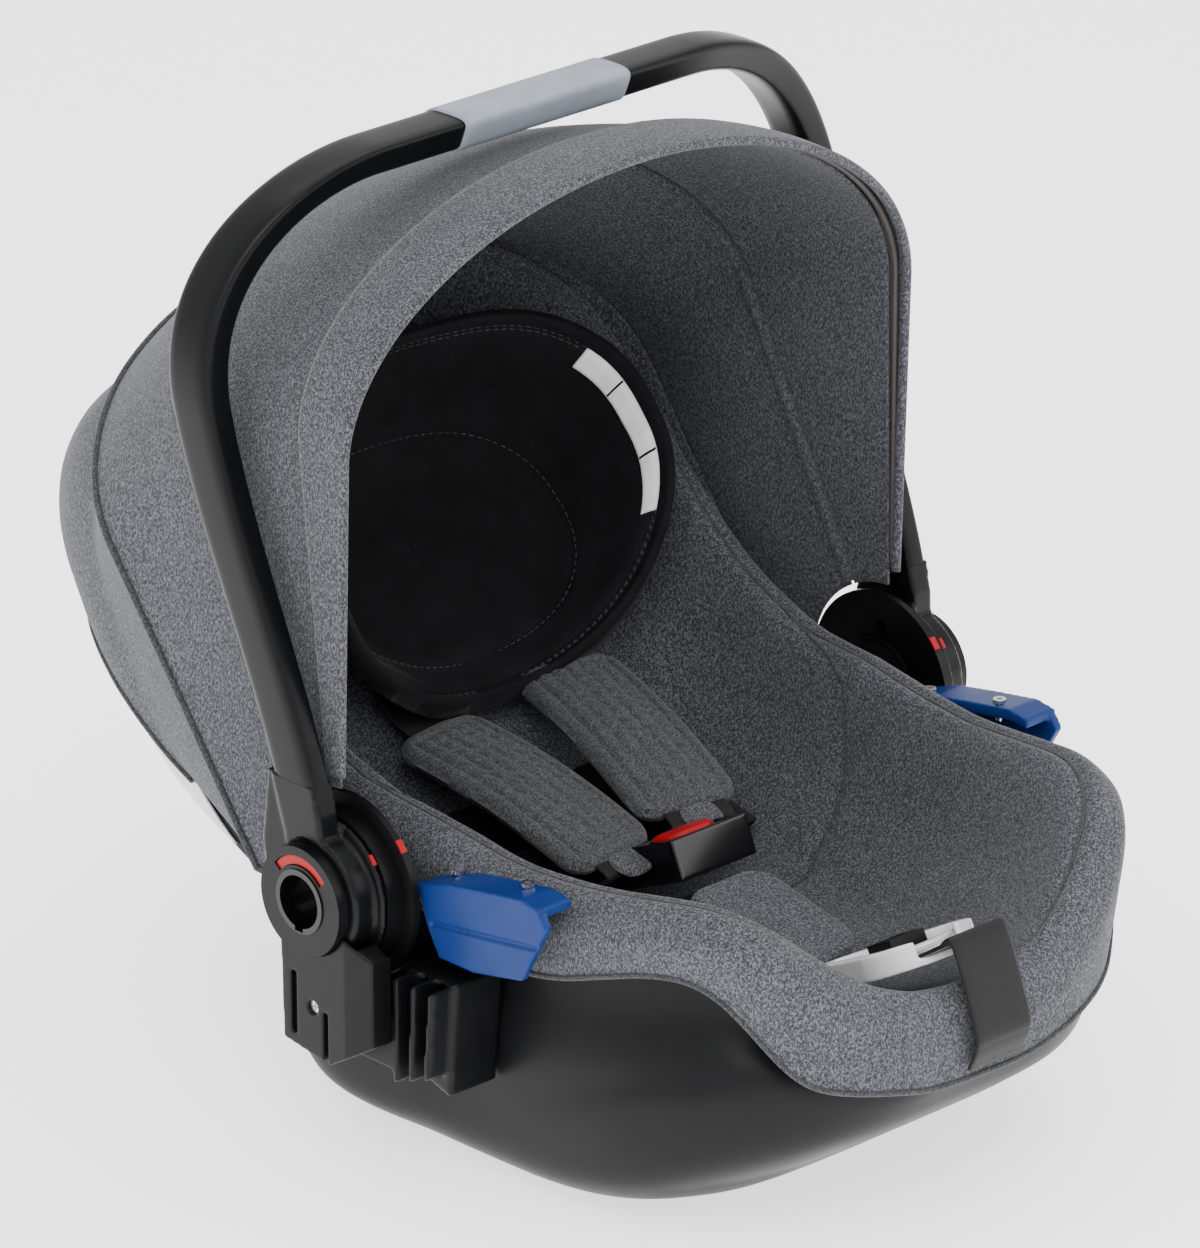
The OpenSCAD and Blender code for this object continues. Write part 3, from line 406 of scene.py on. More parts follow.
# ---- Materials ---------------------------------------------------------------------------------
class Shader:
    """A node material with a Principled shader, built step by step."""

    def __init__(self, name, colour=(0.5, 0.5, 0.5), roughness=0.5, **sockets):
        self.mat = bpy.data.materials.new(name)
        self.mat.use_nodes = True
        self.tree = self.mat.node_tree
        self.bsdf = self.tree.nodes["Principled BSDF"]
        self.bsdf.inputs["Base Color"].default_value = (*colour, 1)
        self.bsdf.inputs["Roughness"].default_value = roughness
        for key, value in sockets.items():
            self.bsdf.inputs[key.replace("_", " ")].default_value = value
        self.mat.diffuse_color = (*colour, 1)

    def node(self, kind, **values):
        n = self.tree.nodes.new(kind)
        for key, value in values.items():
            if hasattr(n, key):
                setattr(n, key, value)
            else:
                n.inputs[key.replace("_", " ")].default_value = value
        return n

    def link(self, a, b):
        self.tree.links.new(a, b)

    def coords(self, kind="Object", scale=(1, 1, 1), rotate=(0, 0, 0)):
        tex = self.node("ShaderNodeTexCoord")
        mapping = self.node("ShaderNodeMapping")
        mapping.inputs["Scale"].default_value = scale
        mapping.inputs["Rotation"].default_value = rotate
        self.link(tex.outputs[kind], mapping.inputs["Vector"])
        return mapping.outputs["Vector"]

    def noise(self, vector, scale, detail=2.0, roughness=0.5):
        n = self.node("ShaderNodeTexNoise")
        n.inputs["Scale"].default_value = scale
        n.inputs["Detail"].default_value = detail
        n.inputs["Roughness"].default_value = roughness
        self.link(vector, n.inputs["Vector"])
        return n.outputs["Fac"]

    def ramp(self, value, stops):
        r = self.node("ShaderNodeValToRGB")
        els = r.color_ramp.elements
        while len(els) < len(stops):
            els.new(0.5)
        for e, (pos, col) in zip(els, stops):
            e.position = pos
            e.color = (*col, 1) if len(col) == 3 else col
        self.link(value, r.inputs["Fac"])
        return r.outputs["Color"]

    def math(self, op, a, b=None):
        m = self.node("ShaderNodeMath", operation=op)
        for k, v in enumerate([a, b]):
            if v is None:
                continue
            if isinstance(v, (int, float)):
                m.inputs[k].default_value = v
            else:
                self.link(v, m.inputs[k])
        return m.outputs[0]

    def mix(self, fac, a, b, blend="MIX"):
        m = self.node("ShaderNodeMix", data_type="RGBA", blend_type=blend)
        for k, v in ((0, fac), (6, a), (7, b)):
            if isinstance(v, (int, float)):
                m.inputs[k].default_value = v
            elif isinstance(v, tuple):
                m.inputs[k].default_value = (*v, 1)
            else:
                self.link(v, m.inputs[k])
        return m.outputs[2]

    def bump(self, height, distance, strength=1.0, previous=None):
        b = self.node("ShaderNodeBump")
        b.inputs["Distance"].default_value = distance * MM
        b.inputs["Strength"].default_value = strength
        self.link(height, b.inputs["Height"])
        if previous is not None:
            self.link(previous, b.inputs["Normal"])
        return b.outputs["Normal"]

    def colour(self, value):
        self.link(value, self.bsdf.inputs["Base Color"])
        return self

    def rough(self, value):
        self.link(value, self.bsdf.inputs["Roughness"])
        return self

    def normal(self, value):
        self.link(value, self.bsdf.inputs["Normal"])
        return self


def heather(name, dark, mid, light, scale=1.0, bump=0.35):
    """Melange woven cloth: flecks of three greys, fine threads and a little fuzz."""
    s = Shader(name, mid, 0.92, Sheen_Weight=0.12, Sheen_Roughness=0.5, Specular_IOR_Level=0.15)
    obj = s.coords("Object")
    fleck = s.noise(s.coords("Object", (1, 1, 0.55), (0.5, 0.6, 0.2)), 1050 * scale, 2.5, 0.62)
    thread = s.noise(s.coords("Object", (0.5, 0.5, 1.5), (0.3, 0.2, 0.4)), 1500 * scale, 1.0, 0.5)
    cloud = s.noise(obj, 26, 2.0, 0.5)
    both = s.math("ADD", s.math("MULTIPLY", fleck, 0.68), s.math("MULTIPLY", thread, 0.32))
    col = s.ramp(both, [(0.36, dark), (0.49, mid), (0.6, light)])
    shade = s.ramp(cloud, [(0.3, (0.93, 0.93, 0.94)), (0.7, (1.0, 1.0, 1.0))])
    s.colour(s.mix(1.0, col, shade, "MULTIPLY"))
    n = s.bump(both, bump, 0.7)
    n = s.bump(s.noise(obj, 90, 3.0, 0.55), 0.5, 0.25, n)
    return s.normal(n)


def plastic(name, colour, roughness, grain=0.05, scale=900, coat=0.0, wear=True, spec=0.16):
    """Moulded plastic: fine spark-eroded grain, small roughness changes, faint handling wear."""
    s = Shader(name, colour, roughness, Specular_IOR_Level=spec, Coat_Weight=coat, Coat_Roughness=0.12)
    obj = s.coords("Object")
    g = s.noise(obj, scale, 3.0, 0.6)
    cloud = s.noise(obj, 11, 4.0, 0.6)
    lo, hi = max(roughness - 0.06, 0.02), min(roughness + 0.09, 1)
    s.rough(s.ramp(cloud, [(0.3, (lo,) * 3), (0.75, (hi,) * 3)]))
    c = np.array(colour)
    if wear:
        s.colour(s.ramp(s.noise(obj, 45, 5.0, 0.65),
                        [(0.35, tuple(c * 0.93)), (0.72, tuple(np.minimum(c * 1.12 + 0.0006, 1)))]))
    return s.normal(s.bump(g, grain, 0.5))


GREY_DARK, GREY_MID, GREY_LIGHT = (0.018, 0.018, 0.0225), (0.050, 0.0505, 0.059), (0.142, 0.143, 0.160)
M = {}
M["heather"] = heather("heather_cloth", GREY_DARK, GREY_MID, GREY_LIGHT)
M["heather_lining"] = heather("heather_lining", (0.018, 0.019, 0.024), (0.044, 0.046, 0.053),
                              (0.105, 0.107, 0.12))
M["pad_charcoal"] = heather("pad_cloth", (0.02, 0.0205, 0.023), (0.05, 0.051, 0.053), (0.1, 0.101, 0.105),
                            1.0, 0.3)
M["piping"] = heather("piping_cloth", (0.016, 0.0165, 0.02), (0.038, 0.039, 0.044), (0.09, 0.092, 0.1), 1.3,
                      0.2)
M["foam"] = plastic("foam_liner", (0.62, 0.63, 0.66), 0.85, 0.3, 300)
M["shell_black"] = plastic("shell_plastic", (0.0035, 0.0036, 0.0042), 0.4, 0.06, 1100)
M["hub_black"] = plastic("hub_plastic", (0.003, 0.003, 0.0034), 0.36, 0.04, 1200)
M["gloss_black"] = plastic("gloss_plastic", (0.0025, 0.0025, 0.003), 0.16, 0.01, 900, 0.4)
M["handle_black"] = plastic("handle_plastic", (0.0025, 0.0026, 0.0032), 0.33, 0.035, 1300)
M["grip_grey"] = plastic("grip_rubber", (0.27, 0.30, 0.345), 0.6, 0.05, 1400)
M["guide_blue"] = plastic("guide_plastic", (0.006, 0.026, 0.135), 0.34, 0.04, 1000)
M["signal_red"] = plastic("signal_plastic", (0.33, 0.006, 0.010), 0.32, 0.02, 900)
M["gloss_white"] = plastic("adjuster_plastic", (0.82, 0.82, 0.82), 0.2, 0.01, 700, 0.3)
M["strip_white"] = plastic("strip_film", (0.74, 0.74, 0.745), 0.42, 0.03, 700)
M["zip_brown"] = plastic("binding_tape", (0.075, 0.066, 0.064), 0.3, 0.12, 500)
M["bow_black"] = plastic("bow_plastic", (0.015, 0.015, 0.017), 0.5, 0.04, 900)


def steel():
    s = Shader("bright_steel", (0.62, 0.63, 0.65), 0.26, Metallic=1.0)
    v = s.coords("Object", (1, 1, 12))
    n = s.noise(v, 260, 3.0, 0.6)
    s.rough(s.ramp(n, [(0.3, (0.2,) * 3), (0.7, (0.38,) * 3)]))
    return s.normal(s.bump(n, 0.02, 0.4))


def insert_cloth():
    """Smooth black jersey of the inserts: soft sheen and a very fine knit."""
    s = Shader("insert_jersey", (0.004, 0.004, 0.005), 0.78, Sheen_Weight=0.05, Sheen_Roughness=0.4,
               Specular_IOR_Level=0.12)
    obj = s.coords("Object")
    knit = s.noise(s.coords("Object", (1, 1, 0.5)), 1500, 1.5, 0.5)
    s.colour(s.ramp(s.noise(obj, 60, 4.0, 0.6),
                    [(0.35, (0.0034, 0.0034, 0.0042)), (0.7, (0.0062, 0.0062, 0.0074))]))
    return s.normal(s.bump(s.noise(obj, 70, 3.0, 0.5), 0.5, 0.25, s.bump(knit, 0.15, 0.5)))


def webbing_cloth():
    """Woven webbing: ribs along its length and cross threads, from the ribbon's own distances."""
    s = Shader("webbing", (0.005, 0.005, 0.006), 0.6, Sheen_Weight=0.05, Specular_IOR_Level=0.25)
    uv = s.coords("UV", (1000, 1000, 1))
    sep = s.node("ShaderNodeSeparateXYZ")
    s.link(uv, sep.inputs[0])
    rib = s.math("SINE", s.math("MULTIPLY", sep.outputs[0], 2 * math.pi / 1.9))
    cross = s.math("SINE", s.math("MULTIPLY", sep.outputs[1], 2 * math.pi / 1.1))
    h = s.math("ADD", s.math("MULTIPLY", rib, 0.12), s.math("MULTIPLY", s.math("MULTIPLY", cross, rib), 0.25))
    s.colour(s.ramp(h, [(0.0, (0.003, 0.003, 0.0036)), (0.6, (0.009, 0.009, 0.0105))]))
    return s.normal(s.bump(h, 0.35, 0.8))


M["steel"] = steel()
M["insert_black"] = insert_cloth()
M["webbing"] = webbing_cloth()


def dress(obj, key):
    """Puts one material on all of an object."""
    mat = (M[key].mat if isinstance(M[key], Shader) else M[key])
    if not obj.material_slots:
        obj.data.materials.append(mat)
    for s in obj.material_slots:
        s.material = mat
    return obj


SLOT_OF = {p["node"]: p["material_slot"] for p in frame["record"]["subparts"]}
for n, o in NODES.items():
    dress(o, SLOT_OF[n])
    bevel = o.modifiers.new("soft_edges", "BEVEL")
    bevel.width, bevel.segments, bevel.limit_method, bevel.angle_limit = 0.5 * MM, 2, "ANGLE", math.radians(38)
    bevel.harden_normals = False
    o.modifiers.new("flat_faces", "WEIGHTED_NORMAL")

# ---- Camera, light, floor ----------------------------------------------------------------------
LENS_MM = 258.7
camera = bpy.data.objects.new("camera", bpy.data.cameras.new("camera"))
bpy.context.scene.collection.objects.link(camera)
camera.location = (-2.9172, -3.0386, 1.9942)
camera.rotation_euler = (math.radians(67.43), 0, math.radians(-43.67))
camera.data.sensor_fit = "VERTICAL"
camera.data.sensor_height = 36
camera.data.lens = LENS_MM
camera.data.clip_end = 60
bpy.context.scene.camera = camera

floor = make_object("floor", [(-9000, -9000, -0.4), (9000, -9000, -0.4), (9000, 9000, -0.4),
                              (-9000, 9000, -0.4)], [[0, 1, 2, 3]])
floor_paint = Shader("floor_paint", (0.92, 0.92, 0.925), 0.85)
floor_paint.colour(floor_paint.ramp(floor_paint.noise(floor_paint.coords("Object"), 0.8, 2.0),
                                    [(0.3, (0.915, 0.915, 0.92)), (0.7, (0.93, 0.93, 0.935))]))
floor_paint.bsdf.inputs["Emission Color"].default_value = (1, 1, 1, 1)
floor_paint.bsdf.inputs["Emission Strength"].default_value = 1.5
floor.data.materials.append(floor_paint.mat)

world = bpy.data.worlds.new("studio")
bpy.context.scene.world = world
world.use_nodes = True
world.node_tree.nodes["Background"].inputs["Color"].default_value = (1, 1, 1, 1)
world.node_tree.nodes["Background"].inputs["Strength"].default_value = 1.4


def softbox(name, place, aim, size, power):
    lamp = bpy.data.lights.new(name, "AREA")
    lamp.shape = "RECTANGLE"
    lamp.size, lamp.size_y = size
    lamp.energy = power
    o = bpy.data.objects.new(name, lamp)
    bpy.context.scene.collection.objects.link(o)
    o.location = place
    o.rotation_euler = (Vector(aim) - Vector(place)).to_track_quat("-Z", "Y").to_euler()
    return o


softbox("key", (-1.6, -1.4, 2.3), (0, 0, 0.25), (1.6, 1.6), 38)
softbox("fill", (1.9, -1.9, 1.2), (0, 0, 0.25), (1.6, 1.2), 14)
softbox("top", (0.2, 0.4, 2.6), (0, 0, 0.3), (2.2, 2.2), 30)

# ---- Pieces ------------------------------------------------------------------------------------
PIVOT = np.array([0, 0, PIVOT_H])


class Patch:
    """A grid of points that seams and stitches can be laid on by row and column."""

    def __init__(self, grid, wrap=False):
        self.grid = np.asarray(grid, float)
        self.wrap = wrap
        self.normals = grid_normals(self.grid, wrap)

    def at(self, rows, cols, lift=0.0):
        r, c = np.asarray(rows, float), np.asarray(cols, float)
        n, m = self.grid.shape[:2]
        r0 = np.clip(np.floor(r).astype(int), 0, n - 2)
        c0 = np.floor(c).astype(int)
        if not self.wrap:
            c0 = np.clip(c0, 0, m - 2)
        fr, fc = (r - r0)[:, None], (c - c0)[:, None]

        def mix(g):
            a, b = g[r0, c0 % m], g[r0, (c0 + 1) % m]
            e, f = g[r0 + 1, c0 % m], g[r0 + 1, (c0 + 1) % m]
            return (a * (1 - fc) + b * fc) * (1 - fr) + (e * (1 - fc) + f * fc) * fr
        p, nn = mix(self.grid), mix(self.normals)
        nn /= np.maximum(np.linalg.norm(nn, axis=1, keepdims=True), 1e-9)
        return p + nn * lift, nn


def add(obj, key, body, replaces=()):
    """Dresses a piece, rides it on its body and hides the CAD nodes it stands for."""
    dress(obj, key)
    if body:
        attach(obj, body)
    if replaces:
        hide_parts(*replaces)
    return obj


def groove(grid, normals, line, width, depth):
    """Presses a soft groove into a grid along a line."""
    pts = resample(line, 1.5)
    tree = KDTree(len(pts))
    for i, p in enumerate(pts):
        tree.insert(p, i)
    tree.balance()
    flat = grid.reshape(-1, 3)
    d = np.array([tree.find(p)[2] for p in flat]).reshape(grid.shape[:2])
    return grid - normals * (depth * np.exp(-(d / width) ** 2))[..., None]


# -- Shell
SHELL_N, SHELL_SUB = 180, 8


def shell_rings(d, sub=SHELL_SUB, n=SHELL_N):
    return smooth_rings([inner_loop(i, d) for i in range(len(SHELL_LOOPS))], sub, n)


outer = shell_rings(0)
inner = shell_rings(WALL)


def swoosh(grid):
    """The shell's sides swell below a line that sweeps from the hub down and up again to the foot."""
    y, z = grid[..., 1], grid[..., 2] - PIVOT_H
    t = np.clip((y + 245) / 240, 0, 1)
    crest = -96 + 34 * (1 - t) ** 1.6 * np.sin(np.pi * np.clip(t * 1.15, 0,
                                                               1)) - 40 * t ** 2.2 + 30 * (1 - t) ** 3
    side = smoothstep(0.6, 0.95, np.abs(grid[..., 0]) / (FRONT_W / 2)) * smoothstep(-252, -225,
            y) * (1 - smoothstep(-35, 0, y))
    return 3.2 * side * (smoothstep(-9, 9, crest - z) - 0.5)


shell_out = outer.copy()
shell_out[..., 0] += np.sign(outer[..., 0]) * swoosh(outer)
lip = (outer[0] + inner[0]) / 2 + np.array([0, 0, 0.8])
rings = np.concatenate([shell_out[::-1], [lip], inner])
shell = closed_rings("shell", rings)
for y in (-150, 66):
    cutter = make_object("slot_cutter", [(x, y + dy, z) for z in (-1, 40)
                                         for x, dy in ((-104, -10), (104, -10), (104, 10), (-104, 10))],
                         [[3, 2, 1, 0], [4, 5, 6, 7], [0, 1, 5, 4], [1, 2, 6, 5], [2, 3, 7, 6], [3, 0, 4, 7]],
                         smooth=False)
    m = shell.modifiers.new("slot", "BOOLEAN")
    m.operation, m.solver, m.object = "DIFFERENCE", "EXACT", cutter
    apply_modifiers(shell)
    bpy.data.objects.remove(cutter)
add(shell, "shell_black", "seat", ["shell"])

# -- Seat cover
RIDGE_UP = [26, 18, 20, 12, 10]
SEAT_H = above([-67, -70, -58, 52, 82])
ridge_h = [a + b for a, b in zip(RIM_H, RIDGE_UP)]
SEAT_LOOPS = [
    [FOOT + 6, RIM_BACK_Y - 6, widths(-9), 3.1, ridge_h],
    [FOOT + 16, RIM_BACK_Y - 14, widths(-20), 3, [h - 8 for h in ridge_h]],
    [FOOT + 44, RIM_BACK_Y - 26, widths(-36), 3, above([-52, -22, -22, 112, 158])],
    [FOOT + 76, RIM_BACK_Y - 42, widths(-56), 3, above([-64, -58, -48, 70, 110])],
    [FOOT + 96, RIM_BACK_Y - 56, widths(-72), 3, SEAT_H],
    [FOOT + 124, RIM_BACK_Y - 84, widths(-112), 3, above([-68, -71, -60, 38, 62])]]
SEAT_N = 360
SKIRT_DROPS = ((0, 22), (14, 27), (26, 46), (34, 56), (42, 38), (52, 20), (62, 17), (72, 24), (80, 34),
               (88, 30), (100, 8), (120, 0), (180, 0))


def skirt_ring(d, share):
    """A ring beside the shell's rim, d outside it; it hangs below the rim by share of the skirt's drop."""
    ring = loop_ring([FOOT - d, RIM_BACK_Y - 10, [w for w in widths(d)[:3]] + widths(-8)[3:], 3.2, RIM_H],
                     SEAT_N)
    deg = np.arange(SEAT_N) * 360.0 / SEAT_N
    a = np.where(deg > 180, 360 - deg, deg)
    drop = np.interp(a, [p[0] for p in SKIRT_DROPS], [p[1] for p in SKIRT_DROPS])
    swell = 9 * np.exp(-((a - 44) / 24.0) ** 2) * (0.35 + 0.65 * (1 - min(max(share, 0), 1)))
    ring[:, 0] += swell * np.sign(ring[:, 0]) * smoothstep(0, 30, np.abs(ring[:, 0]))
    ring[:, 1] -= swell * 0.6
    k = np.hanning(25)
    drop = np.convolve(np.concatenate([drop[-12:], drop, drop[:12]]), k / k.sum(), "valid")
    ring[:, 2] += 1.5 - share * drop + smoothstep(95, 135, a) * 5
    return ring


seat_rings = [loop_ring(l, SEAT_N) for l in SEAT_LOOPS]
seat_deg = np.arange(SEAT_N) * 360.0 / SEAT_N
seat_fold = np.where(seat_deg > 180, 360 - seat_deg, seat_deg)
for k, amount in enumerate((11, 8, 4)):
    swell = amount * np.exp(-((seat_fold - 44) / 24.0) ** 2)
    seat_rings[k][:, 0] += swell * np.sign(seat_rings[k][:, 0])
    seat_rings[k][:, 1] -= swell * 0.6
roll = (skirt_ring(6.0, 0) * 0.35 + seat_rings[0] * 0.65)
roll[:, 2] = skirt_ring(6, 0)[:, 2] * 0.3 + seat_rings[0][:, 2] * 0.7
roll[:, :2] += (skirt_ring(6.0, 0) - seat_rings[0])[:, :2] * 0.28
chain = [skirt_ring(6.4, 1.0), skirt_ring(7.0, 0.45), skirt_ring(6.6, -0.05), roll] + seat_rings


def chain_rings(keys, sub):
    out = []
    last = len(keys) - 1
    for k in range(last):
        a, b, c, d = keys[max(k - 1, 0)], keys[k], keys[k + 1], keys[min(k + 2, last)]
        out += [catmull(a, b, c, d, s / sub) for s in range(sub)]
    return np.array(out + [keys[last]])


SEAT_SUB = 12
seat_top = chain_rings(chain, SEAT_SUB)
under = np.array([grown_ring for grown_ring in [loop_ring(grown([FOOT, RIM_BACK_Y, widths(0), 3.2, RIM_H],
        -WALL - 2, 0.5), SEAT_N), skirt_ring(3.6, 0), skirt_ring(3.6, 0.97)]])
seat_patch = Patch(seat_top, wrap=True)


def cap_rows(ring, shares=(0.1, 0.2, 0.32, 0.45, 0.6, 0.75, 0.88, 1.0)):
    out = []
    for f in shares:
        r = ring.copy()
        r[:, 0] *= 1 - f
        out.append(r)
    return np.array(out)


seat_full = np.concatenate([under, seat_top, cap_rows(seat_top[-1])])
soft = field(seat_full, 48.0, 3.1) * 0.9 + field(seat_full, 20.0, 7.7) * 0.3
nn = grid_normals(seat_full, True)
keep = np.ones(len(seat_full))
keep[:3] = 0
seat_full = seat_full + nn * (soft * keep[:, None])[..., None]
seat_patch = Patch(seat_full, wrap=True)
SKIRT_ROW = 3
RIDGE_ROW = 3 + SEAT_SUB * 4


def seat_line(pairs, per=14, lift=0.0):
    """A smooth line over the seat cover through (row, degrees) pairs."""
    p = smooth_curve([(r, d * SEAT_N / 360.0, 0) for r, d in pairs], per)
    return seat_patch.at(p[:, 0], p[:, 1], lift)


def both_sides(pairs):
    return [pairs, [(r, 360 - d) for r, d in pairs]]


inner_seam = [(RIDGE_ROW + 2, 93), (RIDGE_ROW + 14, 89), (RIDGE_ROW + 26, 85), (RIDGE_ROW + 40, 81),
              (RIDGE_ROW + 52, 78)]
thigh_seam = [(RIDGE_ROW + 2, 122), (RIDGE_ROW + 1, 104), (RIDGE_ROW + 2, 84), (RIDGE_ROW + 3, 64),
              (RIDGE_ROW + 4, 48), (RIDGE_ROW + 5, 34), (RIDGE_ROW + 7, 20), (RIDGE_ROW + 8, 9)]
seam_lines = []
for pairs in [inner_seam, thigh_seam]:
    for version in both_sides(pairs):
        seam_lines.append(seat_line(version))
g = seat_full
for line, _ in seam_lines:
    g = groove(g, nn, line, 3.2, 2.6)


def recess(p):
    """Lays the cover into a snug hollow round the adjuster's teardrop housing."""
    y, z = p[..., 1] - (FOOT + 42), p[..., 2] - (PIVOT_H - 33)
    ly, lz = y * cosd(29) - z * sind(29), y * sind(29) + z * cosd(29)
    t = np.clip((ly - 0) / 56.0, 0, 1)
    edge = np.hypot(p[..., 0], ly - 56 * t) - (31 * (1 - t) + 13 * t)
    far = np.maximum(edge - 2.0, 0)
    top = 1.0 + 0.15 * far + 0.0078 * far ** 2
    new = np.where((edge < 60) & (lz > top) & (ly > -60), top, lz)
    return np.stack([p[..., 0], FOOT + 42 + ly * cosd(-29) - new * sind(-29),
                     PIVOT_H - 33 + ly * sind(-29) + new * cosd(-29)], -1)


cut = recess(g[SKIRT_ROW + 20:])
g[SKIRT_ROW + 20:] = cut
seat_full = g
rows, cols = seat_full.shape[:2]
lining = seat_full - nn * 2.2
both = np.concatenate([seat_full, lining[::-1]])
seat_cover = weld(make_object("seat_cover", both.reshape(-1, 3),
                              grid_faces(2 * rows, cols, wrap_cols=True, wrap_rows=True), grid_uv(both)),
                              0.02)
add(seat_cover, "heather", "seat", ["seat_cover"])
seat_patch = Patch(seat_full, wrap=True)
seams = [tube("seat_seam", seat_line(pairs2, 14, 0.0)[0], 1.3, 8) for pairs in (inner_seam, thigh_seam)
         for pairs2 in both_sides(pairs)]
add(join("seat_seams", seams), "piping", "seat")
hem = []
for k, pairs in enumerate([[(SKIRT_ROW + 1.2, d) for d in range(-92, 93, 3)]]):
    line, n = seat_line(pairs, 4, 0.2)
    hem.append(tube("skirt_hem_%d" % k, line, 1.5, 8))
add(join("skirt_hem", hem), "piping", "seat")

# -- Canopy
def arch_line(w, r, r_low, n_side=40, n_top=90):
    """The arch's outline as (radius, x), from the -X foot over the top to the +X foot."""
    side = [(r_low + (r - ARCH_RISE - r_low) * k / n_side, -w) for k in range(n_side)]
    top = [(r - ARCH_RISE * (1 - sind(a)), -w * cosd(a))
           for a in np.linspace(0, 90, n_top // 2, endpoint=False)]
    half = side + top
    return np.array(half + [(r, 0.0)] + [(a, -b) for a, b in half[::-1]])


def sector(w, r, r_low, a0, a1, rows=40, sag=0.0, inset=0.0):
    """A grid over a sector of the canopy; a0 and a1 are angles, or arrays with one angle per column."""
    line = arch_line(w - inset, r - inset, r_low)
    a0 = np.broadcast_to(np.asarray(a0, float), len(line))
    a1 = np.broadcast_to(np.asarray(a1, float), len(line))
    t = np.linspace(0, 1, rows)[:, None]
    ang = np.radians(a0[None] * (1 - t) + a1[None] * t)
    dip = sag * np.sin(np.pi * t) * smoothstep(r_low, r_low + 120, line[:, 0])[None]
    rad = line[None, :, 0] - dip
    x = line[None, :, 1] * (1 - 0.5 * dip / w)
    return np.stack([x + 0 * ang, rad * np.cos(ang), PIVOT_H + rad * np.sin(ang)], -1)


def rear_edge_angle(r):
    s = (-REAR_Z * cosd(REAR_DEG) + REAR_Y * sind(REAR_DEG)) / np.maximum(r, 1)
    return np.where(s < 0.995, REAR_DEG - np.degrees(np.arcsin(np.minimum(s, 0.995))), -12.0)


def canopy_sheet(name, w, r, r_low, a0, a1, thick, sag, rows=40, wrinkle=0.5, seed=0.0):
    line = arch_line(w, r, r_low)
    lo = rear_edge_angle(line[:, 0]) if a0 is None else a0
    lo = np.maximum(lo, -12.0) if a0 is None else lo
    g = sector(w, r, r_low, lo, a1, rows, sag)
    n = grid_normals(g)
    outward = g - (PIVOT + np.array([0, 60, 60]))
    if (n * outward).sum(2).mean() < 0:
        n = -n
    g = g + n * (wrinkle * field(g * np.array([1, 1, 1]), 60.0, seed) + 0.25 * wrinkle * field(g, 24.0,
            seed + 5))[..., None]
    inner_grid = g - n * thick
    return g, n, sheet_between(name, g, inner_grid)


CLOTH_T = 1.8
rear_grid, rear_n, rear = canopy_sheet("canopy_rear", X_PANEL + PANEL_T, R_FIXED, FLANGE_R + 3, None, MID_DEG,
                                       CLOTH_T, 2.2, 44, 0.5, 1.0)
add(rear, "heather", "seat", ["canopy_rear_panel"])
_, _, front = canopy_sheet("canopy_front", X_MID + PANEL_T, R_MID, FLANGE_R + 3, MID_DEG - 0.6, RIM_DEG - 2,
                           CLOTH_T, 1.2, 60, 0.4, 2.0)
add(front, "heather", "canopy_mid", ["canopy_front_panel"])
RIM_LOW = 60.0
_, _, rim = canopy_sheet("canopy_rim_band", X_RIM + PANEL_T, R_RIM + 0.4, RIM_LOW, RIM_DEG - 7, RIM_DEG + 0.8,
                         1.6, -0.8, 14, 0.3, 3.0)
add(rim, "heather", "canopy_front", ["canopy_rim"])
line = arch_line(X_RIM + PANEL_T - 2.2, R_RIM - 1.4, RIM_LOW)


def arch_points(line, deg):
    return np.stack([line[:, 1], line[:, 0] * cosd(deg), PIVOT_H + line[:, 0] * sind(deg)], 1)


rim_roll = tube("rim_roll", arch_points(line, RIM_DEG + 0.7), 2.6, 14)
add(rim_roll, "heather", "canopy_front", ["rim_bow"])
tape_line = arch_line(X_RIM + 0.6, R_RIM - 3.2, RIM_LOW + 3)
tape = tube("rim_tape", arch_points(tape_line, RIM_DEG - 1.1), 1.7, 10)
add(tape, "zip_brown", "canopy_front", ["zip_tape"])
band = []
for r_in, a0, a1, thick in ((3.9, RIM_DEG - 5.6, RIM_DEG - 3.2, 0.8),
                            (3.9, RIM_DEG - 2.2, RIM_DEG - 1.4, 0.8)):
    g_out = sector(X_RIM + PANEL_T - 2.1, R_RIM - 1.6, RIM_LOW + 4, a0, a1, 8)
    g_in = sector(X_RIM + PANEL_T - 2.1 - thick, R_RIM - 1.6 - thick, RIM_LOW + 4, a0, a1, 8)
    band.append(sheet_between("rim_binding", g_out, g_in))
add(join("rim_binding", band), "zip_brown", "canopy_front")
# Piping along the canopy's two seams
mid_pipe = [tube("mid_piping_a", arch_points(arch_line(X_MID + PANEL_T + 0.5, R_MID + 0.6, FLANGE_R + 6),
                                             MID_DEG - 0.2), 1.5, 8),
            tube("mid_piping_b", arch_points(arch_line(X_MID + PANEL_T + 0.2, R_MID + 0.3, FLANGE_R + 6),
                                             MID_DEG + 1.2), 1.1, 8)]
add(join("mid_piping", mid_pipe), "piping", "canopy_mid", ["mid_bow"])
arch_edge = rear_grid[0] + rear_n[0] * 0.8
rear_pipe = tube("rear_piping", arch_edge, 1.9, 10)
add(rear_pipe, "piping", "seat", ["canopy_rear_arch"])

